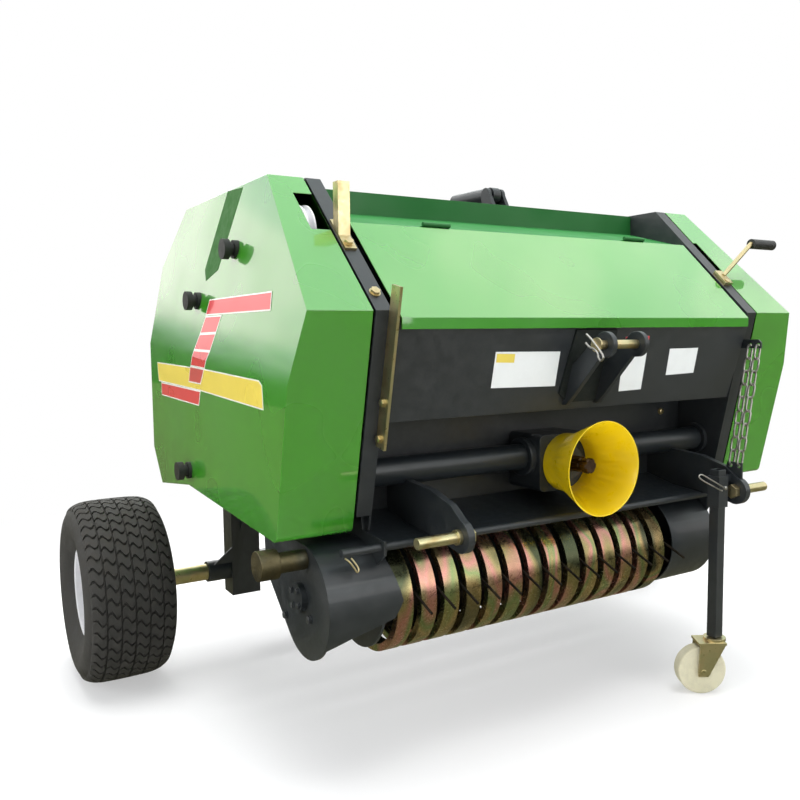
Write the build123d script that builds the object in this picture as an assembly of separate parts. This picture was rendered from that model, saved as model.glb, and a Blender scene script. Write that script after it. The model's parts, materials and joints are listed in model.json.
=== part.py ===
from build123d import *
import os
from math import atan2, ceil, cos, degrees, pi, radians, sin

# Small round hay baler carried on a three-point hitch, with two ground wheels and a castor stand.
# Millimetres, +Z up, +Y to the rear, +X to the right seen from the front.
# The modelling origin is on the floor below the nose of the covers, on the machine's middle plane.
# Pairs in the tables are (y, z).

# Sheet thicknesses
COVER_SHEET = 2.5
WALL_SHEET = 5.0
BOX_SHEET = 3.0

# Case outline, shared by the side plates and the covers, anticlockwise from the nose
NOSE_Z = 918.0
TOP_FRONT_Y = 297.0
TOP_Z = 1204.0
CASE_OUTLINE = [
    (0.0, NOSE_Z),
    (97.0, 486.0),
    (650.0, 512.0),
    (896.0, 480.0),
    (972.0, 571.0),
    (976.0, TOP_Z - 142.0),
    (838.0, TOP_Z),
    (TOP_FRONT_Y, TOP_Z),
]
CASE_BOTTOM_Z = 486.0
CASE_REAR_Y = 976.0

# Side plates: a web with an outward flange
WEB_X = 512.0
FLANGE_WIDTH = 35.0
COVER_GAP = 5.0
COVER_X = WEB_X + FLANGE_WIDTH + COVER_GAP
COVER_OUTER_X = 712.0
COVER_LEAN = 0.20
COVER_CORNER_R = 16.0
FOLD_Z = 782.0
FOLD_SLOPE = 0.0757
KNOBS = [(410.0, TOP_Z - 144.0), (610.0, TOP_Z - 247.0), (636.0, CASE_BOTTOM_Z + 65.0)]
KNOB_R = 22.0
KNOB_WAIST_R = 14.0
KNOB_REACH = 32.0
KNOB_COLLAR = 8.0
KNOB_HEAD = 14.0
# Windows in the sloped front of each cover: x width from its inner edge, front y, rear y
LEFT_WINDOW = (42.0, 170.0, 255.0)
RIGHT_WINDOW = (14.0, 106.0, 200.0)

# Bale chamber
CHAMBER_Y = 575.0
CHAMBER_Z = (TOP_Z + CASE_BOTTOM_Z) / 2 + 3.0
ROLLER_CIRCLE_R = (TOP_Z - CASE_BOTTOM_Z) / 2 - 59.0
ROLLER_R = 0.15 * ROLLER_CIRCLE_R
ROLLER_WALL = 4.0
FIXED_ROLLER_ANGLES = [80.0, 102.0, 124.0, 146.0, 168.0, 189.0, 210.0, 261.0]
GATE_ROLLER_ANGLES = [-76.0, -54.0, -32.0, -10.0, 12.0, 34.0, 56.0]

# Twine box and its lid
LID_FRONT_Y = -13.0
LID_FRONT_Z = 905.0
LID_REAR_Y = 190.0
LID_REAR_Z = TOP_Z - 102.0
LID_HALF_WIDTH = 500.0
LID_LIP = 22.0
BOX_BOTTOM_Y = 53.0
BOX_BOTTOM_Z = 704.0
BOX_DEPTH = 110.0
PANEL_Y = 388.0
PANEL_TOP_Z = TOP_Z - 2.0
DECK_REAR_Z = PANEL_TOP_Z - 52.0
LID_HINGE_X = [-285.0, 320.0]
LID_HINGE_R = 5.0
LID_HINGE_HALF = 35.0

# Gate (rear half of the chamber)
GATE_PLATE = 6.0
GATE_GAP = 9.0
GATE_X = WEB_X - GATE_GAP
HINGE_Y = 700.0
HINGE_Z = TOP_Z - 29.0
HINGE_PIN_R = 12.0
HINGE_BOSS_R = 24.0
FIT = 0.05
GATE_TOP_Z = TOP_Z - 16.0
GATE_OUTLINE = [
    (HINGE_Y - 8, HINGE_Z),
    (HINGE_Y - 16, HINGE_Z - 83),
    (592.0, HINGE_Z - 95),
    (592.0, 528.0),
    (655.0, 528.0),
    (886.0, 500.0),
    (CASE_REAR_Y - 21, 582.0),
    (CASE_REAR_Y - 18, GATE_TOP_Z - 134),
    (830.0, GATE_TOP_Z),
    (HINGE_Y + 10, GATE_TOP_Z),
]
GATE_BEAM_DEPTH = 50.0
GATE_BEAM_HEIGHT = 38.0
GATE_BEAM_GAP = 15.0
REAR_BEAM_DEPTH = 25.0
REAR_BEAM_HEIGHT = 80.0
REAR_BEAM_Z = CHAMBER_Z - 28.0

# Lift cylinder of the gate
CYLINDER_X = 50.0
POST_Y = 430.0
POST_RISE = 37.0
ROD_EYE_Y = HINGE_Y + 50.0
ROD_EYE_RISE = 52.0
BARREL_R = 22.0
BARREL_LENGTH = 150.0
ROD_R = 11.0
ROD_START = 106.0
EYE_R = 20.0
EYE_WIDTH = 24.0
LUG_SHEET = 10.0
LUG_GAP = 5.0
LUG_R = 18.0
TOP_BEAM_HEIGHT = 40.0
TOP_BEAM_DEPTH = 50.0
TOP_BEAM_Z = PANEL_TOP_Z - 7.0
POST_Z = TOP_BEAM_Z + POST_RISE
ROD_EYE_Z = GATE_TOP_Z + ROD_EYE_RISE

# Gearbox and drive
PTO_Z = 578.0
PTO_TIP_Y = 12.0
PTO_SHAFT_R = 17.45
PTO_STUB_LENGTH = 60.0
PTO_JOURNAL_R = 20.0
GEARBOX_FRONT_Y = 96.0
GEARBOX_LENGTH = 110.0
GEARBOX_WIDTH = 150.0
GEARBOX_HEIGHT = 130.0
CONE_RIM_Y = -30.0
CONE_RIM_R = 105.0
CONE_NECK_R = 66.0
CONE_WALL = 3.0
DRIVE_TUBE_Y = 150.0
DRIVE_TUBE_Z = 590.0
DRIVE_TUBE_R = 21.0
DRIVE_TUBE_CLEARANCE = 3.0

# Gear beam between the side plates, behind the gearbox
GEAR_BEAM_SHEET = 12.0
GEAR_BEAM_BOTTOM = 494.0
GEAR_BEAM_TOP = 690.0

# Pickup: bands, reel and guards
PICKUP_Y = 150.0
PICKUP_Z = 342.0
BAND_R = 120.0
BAND_COUNT = 14
BAND_PITCH = 55.0
BAND_WIDTH = 36.5
BAND_FIRST_X = -471.5
BAND_SHEET = 2.5
TAIL_RISE_Y = 300.0
TAIL_END_Y = 452.0
TAIL_END_Z = 514.0
RAIL_Y = 425.0
RAIL_DEPTH = 25.0
RAIL_HEIGHT = 12.0
BAND_END_Z = 367.0
REAR_RAIL_SHEET = 12.0
REAR_RAIL_Z = 345.0
REAR_RAIL_HEIGHT = 20.0
BAND_FLANGE = 12.5
BAND_FLANGE_ARC = (90.0, 240.0)
GUARD_Y = 138.0
GUARD_Z = 353.0
GUARD_R = 114.0
GUARD_SHEET = 2.5
GUARD_TOP_Z = 462.0
RIGHT_GUARD_X = 283.0
RIGHT_SUPPORT_X = 430.0
DRIVE_GUARD_INNER_X = -508.0
DRIVE_GUARD_X = -640.0
# Front edge of the drive guard's skin, seen from the front: pairs are (x, z)
DRIVE_GUARD_EDGE = [(-508.0, 468.0), (-480.0, 358.0), (-497.0, 325.0), (-588.0, 298.0), (-634.0, 279.0)]
HUB_Y = 151.0
HUB_Z = 359.0
HUB_R = 30.0
HUB_LENGTH = 12.0
SUPPORT_SHEET = 6.0
DRIVE_SHAFT_Y = 130.0
DRIVE_SHAFT_Z = 440.0
DRIVE_SHAFT_R = 20.0
DRIVE_SHAFT_END_X = -740.0
DRIVE_COLLAR_R = 29.0
DRIVE_COLLAR_LENGTH = 40.0
REEL_Y = 100.0
REEL_Z = 314.0
REEL_TUBE_R = 30.0
REEL_SHAFT_R = 15.0
REEL_END_GAP = 8.0
TINE_ROWS = 2
TINE_ELBOW_R = 72.0
TINE_ELBOW_ANGLE = 88.0
TINE_TIP_R = 123.0
TINE_TIP_ANGLE = 168.8
TINE_R = 2.75
FRONT_BAR_Y = 38.0
FRONT_BAR_Z = 466.0
FRONT_BAR_R = 8.0
FRONT_BAR_LEFT_X = -607.0
THROAT_SHEET = 4.0
THROAT_KNEE = (120.0, 480.0)
THROAT_REAR_Z = 500.0

# Three-point hitch
HITCH_X = 402.0
HITCH_SHEET = 16.0
HITCH_Y = -63.0
HITCH_Z = 492.0
HITCH_NOSE_R = 32.0
HITCH_PIN_R = 11.0
HITCH_PIN_TIP_X = 504.0
MAST_X = 46.0
MAST_SHEET = 12.0
MAST_Y = -76.0
MAST_Z = 848.0
MAST_NOSE_R = 27.0
MAST_PIN_R = 9.5

# Wheels
WHEEL_X = 853.0
WHEEL_Y = 851.0
TYRE_R = 229.0
TYRE_WIDTH = 216.0
RIM_R = 104.0
WHEEL_HUB_R = 34.0
AXLE_R = 22.0
AXLE_BEAM = 66.0
BRACKET_SHEET = 8.0
AXLE_POST_X = (470.0, 550.0)
AXLE_POST_WALL = 6.0
AXLE_POST_Z = (160.0, 478.0)
AXLE_SLEEVE_R = 28.0
AXLE_SLEEVE_END_X = 612.0
AXLE_GUSSET = (50.0, 38.0)

# Stand with castor
LEG_X = 357.0
LEG_Y = -44.0
LEG_SIZE = 26.0
LEG_WALL = 3.0
LEG_BOTTOM_Z = 137.0
LEG_TOP_Z = 545.0
LEG_CLEARANCE = 0.3
SLEEVE_WALL = 3.5
SLEEVE_BOTTOM_Z = 455.0
SLEEVE_TOP_Z = 530.0
SLEEVE_WEB = 16.0
CASTOR_R = 58.0
CASTOR_WIDTH = 34.0
CASTOR_TRAIL = 34.0
CASTOR_TRAIL_ANGLE = 149.0
CASTOR_AXLE_R = 6.0

# Plated fittings at the front corners
CORNER_BAR_X = (-519.0, -513.0)
CORNER_BAR_DEPTH = 30.0
CORNER_BAR_Z = (660.0, 965.0)
UPRIGHT_X = (-545.0, -519.0)
UPRIGHT_Y = 150.0
UPRIGHT_SHEET = 6.0
UPRIGHT_TOP_Z = 1175.0
PAD_Y = (125.0, 190.0)
PAD_SHEET = 5.0
LEVER_Y = 91.0
LEVER_PAD_X = (517.0, 545.0)
LEVER_PAD_LENGTH = 34.0
LEVER_FOOT_X = 536.0
LEVER_KNEE_X = 646.0
LEVER_KNEE_Z = 1102.0
LEVER_END_X = 736.0
LEVER_R = 6.0
GRIP_R = 13.0

# Twine pulley in the left cover's window
PULLEY_Y = 212.0
PULLEY_Z = TOP_Z - 136.0
PULLEY_R = 36.0
PULLEY_X = (-590.0, -566.0)
PULLEY_AXLE_R = 8.0

# Stay chain, in two strands from the ear on the right side plate to the tab on the right hitch plate
LINK_WIRE = 4.0
LINK_LENGTH = 42.5
LINK_WIDTH = 21.0
LINK_PLAY = 0.4
CHAIN_HOLE_R = 5.4
CHAIN_SHEET = 5.0
EAR_X = 520.0
EAR_Y = -28.0
EAR_Z = 837.5
STRAND_GAP_Y = 22.0
TAB_Y = -68.0
TAB_Z = 552.0

# Frame origin: middle of the overall length
FRONT_Y = MAST_Y - MAST_NOSE_R
REAR_Y = WHEEL_Y + TYRE_R
ORIGIN_Y = (FRONT_Y + REAR_Y) / 2


def save(node, *shapes):
    """Write one node, as one solid or as several that do not touch."""
    solids = [solid for shape in shapes for solid in shape.solids()]
    group = solids[0] if len(solids) == 1 else Compound(children=solids)
    export_step(Pos(0, -ORIGIN_Y, 0) * group, f"parts/{node}.step")


def yz_face(outline, x):
    """A flat face with corners (y, z) in the plane at x."""
    return Plane.YZ.offset(x) * make_face(Polyline(*outline, close=True))


def yz_plate(outline, x0, x1):
    """A plate with corners (y, z), from x0 to x1."""
    return extrude(yz_face(outline, x0), amount=x1 - x0)


def bar(start, end, radius):
    """A round bar between two points."""
    start, end = Vector(*start), Vector(*end)
    run = end - start
    plane = Plane(origin=start, z_dir=run)
    return plane * Cylinder(radius, run.length, align=(Align.CENTER, Align.CENTER, Align.MIN))


def x_bar(y, z, x0, x1, radius):
    """A round bar along X."""
    return bar((x0, y, z), (x1, y, z), radius)


def block(x0, x1, y0, y1, z0, z1):
    """A box between two corners."""
    box = Box(x1 - x0, y1 - y0, z1 - z0)
    return Pos((x0 + x1) / 2, (y0 + y1) / 2, (z0 + z1) / 2) * box


def on_both_sides(shape):
    """The shape and its mirror image across the middle plane."""
    return [shape, mirror(shape, about=Plane.YZ)]


def side_plate():
    """Right side plate: the web and its outward flange, with no flange along the bottom."""
    pan = yz_plate(CASE_OUTLINE, WEB_X, WEB_X + FLANGE_WIDTH)
    inner = offset(yz_face(CASE_OUTLINE, WEB_X + WALL_SHEET), amount=-WALL_SHEET, kind=Kind.INTERSECTION)
    pan -= extrude(inner, amount=FLANGE_WIDTH)
    pan -= block(WEB_X + WALL_SHEET, COVER_X, 90, 905, CASE_BOTTOM_Z - 60, CASE_BOTTOM_Z + 45)
    pan -= x_bar(HINGE_Y, HINGE_Z, WEB_X - 1, WEB_X + WALL_SHEET + 1, HINGE_PIN_R)
    return pan


def cover_block(inset):
    """Solid form of the right cover, shrunk by the inset on every outer face."""
    face = yz_face(CASE_OUTLINE, COVER_X)
    if inset:
        face = offset(face, amount=-inset, kind=Kind.INTERSECTION)
    corner = face.vertices().sort_by_distance((COVER_X, *CASE_OUTLINE[1]))[0]
    face = fillet(corner, COVER_CORNER_R - inset)
    body = extrude(face, amount=COVER_OUTER_X - inset - COVER_X)
    normal = Vector(1, -COVER_LEAN * FOLD_SLOPE, COVER_LEAN).normalized()
    lean = Plane(origin=Vector(COVER_OUTER_X, 0, FOLD_Z) - normal * inset, z_dir=normal)
    return body - lean * Box(4000, 4000, 600, align=(Align.CENTER, Align.CENTER, Align.MIN))


def cover():
    """Right cover: a folded sheet shell, open towards the machine."""
    return cover_block(0) - cover_block(COVER_SHEET)


def slope_z(y):
    """Height of the sloped front of the case at y."""
    return NOSE_Z + (TOP_Z - NOSE_Z) * y / TOP_FRONT_Y


def slope_pad(y0, y1, x0, x1, low, high):
    """A plate along the sloped front, from low to high above it."""
    rise = Vector(TOP_FRONT_Y, TOP_Z - NOSE_Z).normalized()
    corners = [(y0, low), (y1, low), (y1, high), (y0, high)]
    return yz_plate([(y - rise.Y * h, slope_z(y) + rise.X * h) for y, h in corners], x0, x1)


def windowed(shell, window):
    """The right cover with a window through its sloped front, at the inner edge."""
    width, y0, y1 = window
    return shell - slope_pad(y0, y1, COVER_X - 1, COVER_X + width, -2 * COVER_SHEET, COVER_SHEET)


def cover_knobs():
    """Rubber pieces: three latches on each cover, with collar, waist and head, and the lever's grip."""
    knobs = []
    for y, z in KNOBS:
        x = COVER_OUTER_X - COVER_LEAN * max(0.0, z - FOLD_Z - FOLD_SLOPE * y)
        knob = x_bar(y, z, x - 4, x + KNOB_REACH, KNOB_WAIST_R)
        knob += x_bar(y, z, x - 4, x + KNOB_COLLAR, KNOB_R - 2)
        knob += x_bar(y, z, x + KNOB_REACH - KNOB_HEAD, x + KNOB_REACH, KNOB_R)
        knobs.append(knob - cover_block(0))
    grip = x_bar(LEVER_Y, LEVER_KNEE_Z, LEVER_KNEE_X, LEVER_END_X, GRIP_R)
    return [copy for knob in knobs for copy in on_both_sides(knob)] + [grip]


def rollers(angles, half_length):
    """Chamber rollers: tubes on the roller circle."""
    result = []
    for angle in angles:
        y = CHAMBER_Y + ROLLER_CIRCLE_R * cos(radians(angle))
        z = CHAMBER_Z + ROLLER_CIRCLE_R * sin(radians(angle))
        tube = x_bar(y, z, -half_length, half_length, ROLLER_R)
        result.append(tube - x_bar(y, z, -half_length - 1, half_length + 1, ROLLER_R - ROLLER_WALL))
    return result


def twine_box():
    """Twine box: front panel, floor and back wall of folded sheet."""
    path = [
        (LID_FRONT_Y + 8, LID_FRONT_Z - 10),
        (BOX_BOTTOM_Y, BOX_BOTTOM_Z),
        (BOX_BOTTOM_Y + BOX_DEPTH, BOX_BOTTOM_Z),
        (BOX_BOTTOM_Y + BOX_DEPTH, LID_REAR_Z - 50),
    ]
    inside = [
        (BOX_BOTTOM_Y + BOX_DEPTH - BOX_SHEET, LID_REAR_Z - 50),
        (BOX_BOTTOM_Y + BOX_DEPTH - BOX_SHEET, BOX_BOTTOM_Z + BOX_SHEET),
        (BOX_BOTTOM_Y + BOX_SHEET, BOX_BOTTOM_Z + BOX_SHEET),
        (LID_FRONT_Y + 8 + BOX_SHEET, LID_FRONT_Z - 10),
    ]
    return yz_plate(path + inside, -WEB_X, WEB_X)


def top_deck():
    """Green deck behind the lid, with the upright panel and the lid's hinge tubes."""
    top = [
        (LID_REAR_Y + 12, LID_REAR_Z - 2),
        (PANEL_Y, DECK_REAR_Z),
        (PANEL_Y, PANEL_TOP_Z),
    ]
    under = [
        (PANEL_Y + BOX_SHEET, PANEL_TOP_Z),
        (PANEL_Y + BOX_SHEET, DECK_REAR_Z - BOX_SHEET),
        (LID_REAR_Y + 12, LID_REAR_Z - 2 - BOX_SHEET),
    ]
    deck = yz_plate(top + under, -WEB_X, WEB_X)
    y, z = LID_REAR_Y + 5, LID_REAR_Z + 7
    for x in LID_HINGE_X:
        leaf = [(y, z - LID_HINGE_R), (y, z - LID_HINGE_R + 2), (y + 14, z - 4), (y + 14, z - 10)]
        deck += x_bar(y, z, x - LID_HINGE_HALF, x + LID_HINGE_HALF, LID_HINGE_R)
        deck += yz_plate(leaf, x - LID_HINGE_HALF, x + LID_HINGE_HALF)
    return deck


def box_lid():
    """Sloped lid with a front lip and two hinge knuckles at its rear edge."""
    rise = atan2(LID_REAR_Z - LID_FRONT_Z, LID_REAR_Y - LID_FRONT_Y)
    down = (BOX_SHEET * sin(rise), -BOX_SHEET * cos(rise))
    section = [
        (LID_REAR_Y, LID_REAR_Z),
        (LID_FRONT_Y, LID_FRONT_Z),
        (LID_FRONT_Y, LID_FRONT_Z - LID_LIP),
        (LID_FRONT_Y + BOX_SHEET, LID_FRONT_Z - LID_LIP),
        (LID_FRONT_Y + BOX_SHEET, LID_FRONT_Z - BOX_SHEET / 2),
        (LID_REAR_Y + down[0], LID_REAR_Z + down[1]),
    ]
    return yz_plate(section, -LID_HALF_WIDTH, LID_HALF_WIDTH)


def top_beam():
    """Beam behind the panel, between the side plates, with the two lugs that hold the barrel's eye."""
    y0 = PANEL_Y + BOX_SHEET
    y1 = y0 + TOP_BEAM_DEPTH
    beam = block(-WEB_X, WEB_X, y0, y1, TOP_BEAM_Z - TOP_BEAM_HEIGHT, TOP_BEAM_Z)
    for lug in cylinder_lugs(POST_Y, POST_Z, [(y0, TOP_BEAM_Z), (y1, TOP_BEAM_Z)]):
        beam += lug
    return beam


def gear_beam():
    """Plate beam behind the gearbox, between the side plates."""
    y = GEARBOX_FRONT_Y + GEARBOX_LENGTH
    return block(-WEB_X, WEB_X, y, y + GEAR_BEAM_SHEET, GEAR_BEAM_BOTTOM, GEAR_BEAM_TOP)


def gate_sides():
    """Gate side plates with their hinge bosses and bores."""
    plate = yz_plate(GATE_OUTLINE, GATE_X - GATE_PLATE, GATE_X)
    plate += x_bar(HINGE_Y, HINGE_Z, GATE_X - GATE_PLATE, GATE_X, HINGE_BOSS_R)
    plate -= x_bar(HINGE_Y, HINGE_Z, GATE_X - GATE_PLATE - 1, GATE_X + 1, HINGE_PIN_R + FIT)
    return on_both_sides(plate)


def gate_beams():
    """Gate cross beams: the top one with the cylinder's lugs, and the rear one."""
    inner = GATE_X - GATE_PLATE
    y0 = HINGE_Y + GATE_BEAM_GAP
    y1 = y0 + GATE_BEAM_DEPTH
    top = block(-inner, inner, y0, y1, GATE_TOP_Z - GATE_BEAM_HEIGHT, GATE_TOP_Z)
    for lug in cylinder_lugs(ROD_EYE_Y, ROD_EYE_Z, [(y0, GATE_TOP_Z), (y1, GATE_TOP_Z)]):
        top += lug
    y1 = CASE_REAR_Y - 26
    rear = block(-inner, inner, y1 - REAR_BEAM_DEPTH, y1, REAR_BEAM_Z, REAR_BEAM_Z + REAR_BEAM_HEIGHT)
    return [top, rear]


def cylinder_lugs(y, z, base):
    """Two lugs on either side of a cylinder eye at (y, z), standing on the base points."""
    lugs = []
    for side in (-1, 1):
        start = CYLINDER_X + side * (EYE_WIDTH / 2 + LUG_GAP)
        end = start + side * LUG_SHEET
        x0, x1 = min(start, end), max(start, end)
        plate = yz_plate([base[0], base[1], (y + LUG_R, z), (y - LUG_R, z)], x0, x1)
        lugs.append(plate + x_bar(y, z, x0, x1, LUG_R))
    return lugs


def hinge_pins():
    """Gate hinge pins, from the side plates into the gate."""
    pin = x_bar(HINGE_Y, HINGE_Z, GATE_X - GATE_PLATE, WEB_X + WALL_SHEET + 8, HINGE_PIN_R)
    return on_both_sides(pin)


def cylinder_frame():
    """Plane at the barrel's eye, with Z along the cylinder."""
    along = Vector(0, ROD_EYE_Y - POST_Y, ROD_EYE_Z - POST_Z)
    return Plane(origin=(CYLINDER_X, POST_Y, POST_Z), x_dir=(1, 0, 0), z_dir=along), along.length


def cylinder_barrel():
    """Barrel with its eye."""
    plane, _ = cylinder_frame()
    low = (Align.CENTER, Align.CENTER, Align.MIN)
    barrel = Pos(0, 0, EYE_R - 2) * Cylinder(BARREL_R, BARREL_LENGTH, align=low)
    barrel -= Pos(0, 0, EYE_R) * Cylinder(ROD_R + FIT, BARREL_LENGTH, align=low)
    eye = Rot(0, 90, 0) * Cylinder(EYE_R, EYE_WIDTH)
    return plane * (barrel + eye)


def cylinder_rod():
    """Rod with its eye, out of the barrel."""
    plane, length = cylinder_frame()
    low = (Align.CENTER, Align.CENTER, Align.MIN)
    rod = Pos(0, 0, ROD_START) * Cylinder(ROD_R, length - ROD_START, align=low)
    eye = Pos(0, 0, length) * Rot(0, 90, 0) * Cylinder(EYE_R, EYE_WIDTH)
    return plane * (rod + eye)


def gearbox():
    """Gearbox housing with its input boss."""
    body = block(-GEARBOX_WIDTH / 2, GEARBOX_WIDTH / 2, GEARBOX_FRONT_Y, GEARBOX_FRONT_Y + GEARBOX_LENGTH,
                 PTO_Z - GEARBOX_HEIGHT / 2, PTO_Z + GEARBOX_HEIGHT / 2)
    body = fillet(body.edges().filter_by(Axis.Y), 14)
    boss = bar((0, GEARBOX_FRONT_Y - 22, PTO_Z), (0, GEARBOX_FRONT_Y, PTO_Z), 36)
    bore = bar((0, GEARBOX_FRONT_Y - 23, PTO_Z), (0, GEARBOX_FRONT_Y + 30, PTO_Z), PTO_JOURNAL_R + FIT)
    return body + boss - bore


def pto_shaft():
    """Input shaft: the stub for the drive shaft's yoke, and the journal in the gearbox."""
    shoulder = PTO_TIP_Y + PTO_STUB_LENGTH
    stub = bar((0, PTO_TIP_Y, PTO_Z), (0, shoulder, PTO_Z), PTO_SHAFT_R)
    return stub + bar((0, shoulder, PTO_Z), (0, GEARBOX_FRONT_Y + 28, PTO_Z), PTO_JOURNAL_R)


def pto_cone():
    """Yellow guard cone: a neck and a flared mouth."""
    profile = [
        (CONE_NECK_R, GEARBOX_FRONT_Y),
        (CONE_NECK_R + 2, 60.0),
        (CONE_RIM_R, CONE_RIM_Y),
        (CONE_RIM_R - CONE_WALL, CONE_RIM_Y),
        (CONE_NECK_R + 2 - CONE_WALL, 60.0 + 1),
        (CONE_NECK_R - CONE_WALL, GEARBOX_FRONT_Y),
    ]
    face = make_face(Polyline(*profile, close=True))
    return Pos(0, 0, PTO_Z) * revolve(face, Axis.Y)


def drive_tubes():
    """Drive tubes from the gearbox to the side plates."""
    return on_both_sides(x_bar(DRIVE_TUBE_Y, DRIVE_TUBE_Z, GEARBOX_WIDTH / 2, WEB_X, DRIVE_TUBE_R))


def hitch_plate():
    """Right lower hitch plate, with its rounded nose, on the throat sheet and the gear beam."""
    rear = GEARBOX_FRONT_Y + GEARBOX_LENGTH
    outline = [
        (rear, 578),
        (35, 566),
        (-34, 548),
        (HITCH_Y - 12, HITCH_Z + HITCH_NOSE_R - 4),
        (HITCH_Y, HITCH_Z),
        (HITCH_Y, HITCH_Z - HITCH_NOSE_R),
        (-5, FRONT_BAR_Z + 5),
        (FRONT_BAR_Y, FRONT_BAR_Z + FRONT_BAR_R - THROAT_SHEET / 2),
        (THROAT_KNEE[0], THROAT_KNEE[1] - THROAT_SHEET / 2),
        (rear, THROAT_REAR_Z - THROAT_SHEET / 2),
    ]
    x0, x1 = HITCH_X - HITCH_SHEET / 2, HITCH_X + HITCH_SHEET / 2
    plate = yz_plate(outline, x0, x1) + x_bar(HITCH_Y, HITCH_Z, x0, x1, HITCH_NOSE_R)
    plate -= x_bar(HITCH_Y, HITCH_Z, x0 - 1, x1 + 1, HITCH_PIN_R)
    plate -= x_bar(DRIVE_TUBE_Y, DRIVE_TUBE_Z, x0 - 1, x1 + 1, DRIVE_TUBE_R + DRIVE_TUBE_CLEARANCE)
    return plate - throat()


def chain_tab():
    """Tab on the right hitch plate's nose that holds the chain's lower ends."""
    x0, x1 = HITCH_X - CHAIN_SHEET / 2, HITCH_X + CHAIN_SHEET / 2
    outline = [(TAB_Y - 9, HITCH_Z + 20), (HITCH_Y + 35, HITCH_Z + 30), (TAB_Y + STRAND_GAP_Y + 9, TAB_Z + 8),
               (TAB_Y - 9, TAB_Z + 8)]
    tab = yz_plate(outline, x0, x1)
    for y, z in tab_holes():
        tab -= x_bar(y, z, x0 - 1, x1 + 1, CHAIN_HOLE_R)
    return tab


def hitch_pin():
    """Right hitch pin with shoulder and nut."""
    x0, x1 = HITCH_X - HITCH_SHEET / 2, HITCH_X + HITCH_SHEET / 2
    pin = x_bar(HITCH_Y, HITCH_Z, x0 - 14, HITCH_PIN_TIP_X, HITCH_PIN_R)
    pin += x_bar(HITCH_Y, HITCH_Z, x1, x1 + 8, HITCH_PIN_R + 4)
    nut = Plane(origin=(x0 - 14, HITCH_Y, HITCH_Z), z_dir=(1, 0, 0)) * extrude(RegularPolygon(17, 6), 14)
    return pin + nut


def mast():
    """Two curved plates on a backing plate that carry the top link pin."""
    outline = [(MAST_Y + 18, MAST_Z + 20), (MAST_Y + 10, MAST_Z - 25), (10, 742), (38, 715), (70, 715), (70, 760)]
    plates = []
    for x in (-MAST_X, MAST_X):
        plate = yz_plate(outline, x - MAST_SHEET / 2, x + MAST_SHEET / 2)
        plate += x_bar(MAST_Y, MAST_Z, x - MAST_SHEET / 2, x + MAST_SHEET / 2, MAST_NOSE_R)
        plate -= x_bar(MAST_Y, MAST_Z, x - MAST_SHEET, x + MAST_SHEET, MAST_PIN_R)
        plates.append(plate - box_front_solid())
    return plates


def box_front_solid():
    """Everything behind the front panel's outer face, used to seat pieces on it."""
    outline = [(LID_FRONT_Y + 8, LID_FRONT_Z - 10), (BOX_BOTTOM_Y, BOX_BOTTOM_Z), (BOX_BOTTOM_Y, BOX_BOTTOM_Z - 60),
               (BOX_BOTTOM_Y + 200, BOX_BOTTOM_Z - 60), (BOX_BOTTOM_Y + 200, LID_FRONT_Z - 10)]
    return yz_plate(outline, -WEB_X, WEB_X)


def mast_pin():
    """Top link pin."""
    return x_bar(MAST_Y, MAST_Z, -MAST_X - 26, MAST_X + 18, MAST_PIN_R)


def throat():
    """Round front bar and the sheet that runs from it over the bands to the gear beam."""
    rear = GEARBOX_FRONT_Y + GEARBOX_LENGTH
    top = [(FRONT_BAR_Y, FRONT_BAR_Z + FRONT_BAR_R), THROAT_KNEE, (rear, THROAT_REAR_Z)]
    under = [(y, z - THROAT_SHEET) for y, z in reversed(top)]
    bar_right = RIGHT_SUPPORT_X + SUPPORT_SHEET
    front = x_bar(FRONT_BAR_Y, FRONT_BAR_Z, FRONT_BAR_LEFT_X, bar_right, FRONT_BAR_R)
    return front + yz_plate(top + under, -WEB_X, RIGHT_SUPPORT_X)


def pickup_rail():
    """Rail under the rear ends of the bands."""
    top = TAIL_END_Z - BAND_SHEET
    return block(-WEB_X, WEB_X, RAIL_Y, RAIL_Y + RAIL_DEPTH, top - RAIL_HEIGHT, top)


def rear_rail():
    """Flat bar inside the rear ends of the bands."""
    y = PICKUP_Y + BAND_R - BAND_SHEET
    x0 = -WEB_X - WALL_SHEET
    return block(x0, RIGHT_SUPPORT_X, y - REAR_RAIL_SHEET, y, REAR_RAIL_Z, REAR_RAIL_Z + REAR_RAIL_HEIGHT)


def pickup_supports():
    """Plates that carry the pickup's ends."""
    bar_low, bar_high = FRONT_BAR_Z - FRONT_BAR_R - 6, FRONT_BAR_Z + FRONT_BAR_R + 6
    bar_front = FRONT_BAR_Y - FRONT_BAR_R - 6
    nose = [(bar_front, bar_high), (bar_front, bar_low)]
    left = nose + [(90, 400), (300, 330), (330, 500), (330, 560), (125, 560), (110, CASE_BOTTOM_Z)]
    right = nose + [(60, 400), (240, 400), (240, 540), (60, 540)]
    plates = []
    for outline, x in ((left, -WEB_X - WALL_SHEET - SUPPORT_SHEET), (right, RIGHT_SUPPORT_X)):
        plate = yz_plate(outline, x, x + SUPPORT_SHEET)
        plate += x_bar(GUARD_Y, GUARD_Z, x, x + SUPPORT_SHEET, GUARD_R - GUARD_SHEET)
        plate -= x_bar(REEL_Y, REEL_Z, x - 1, x + SUPPORT_SHEET + 1, REEL_SHAFT_R + FIT)
        plates.append(plate - throat() - gear_beam())
    return plates


def drum(radius, x0, x1):
    """Drum with a pointed rear."""
    tangent = [(GUARD_Y + radius * cos(radians(a)), GUARD_Z + radius * sin(radians(a))) for a in (-50, 90)]
    inset = GUARD_R - radius
    outline = [tangent[0], (336 - 2 * inset, 370), (342 - 2 * inset, GUARD_Z + radius), tangent[1]]
    return yz_plate(outline, x0, x1) + x_bar(GUARD_Y, GUARD_Z, x0, x1, radius)


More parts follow.
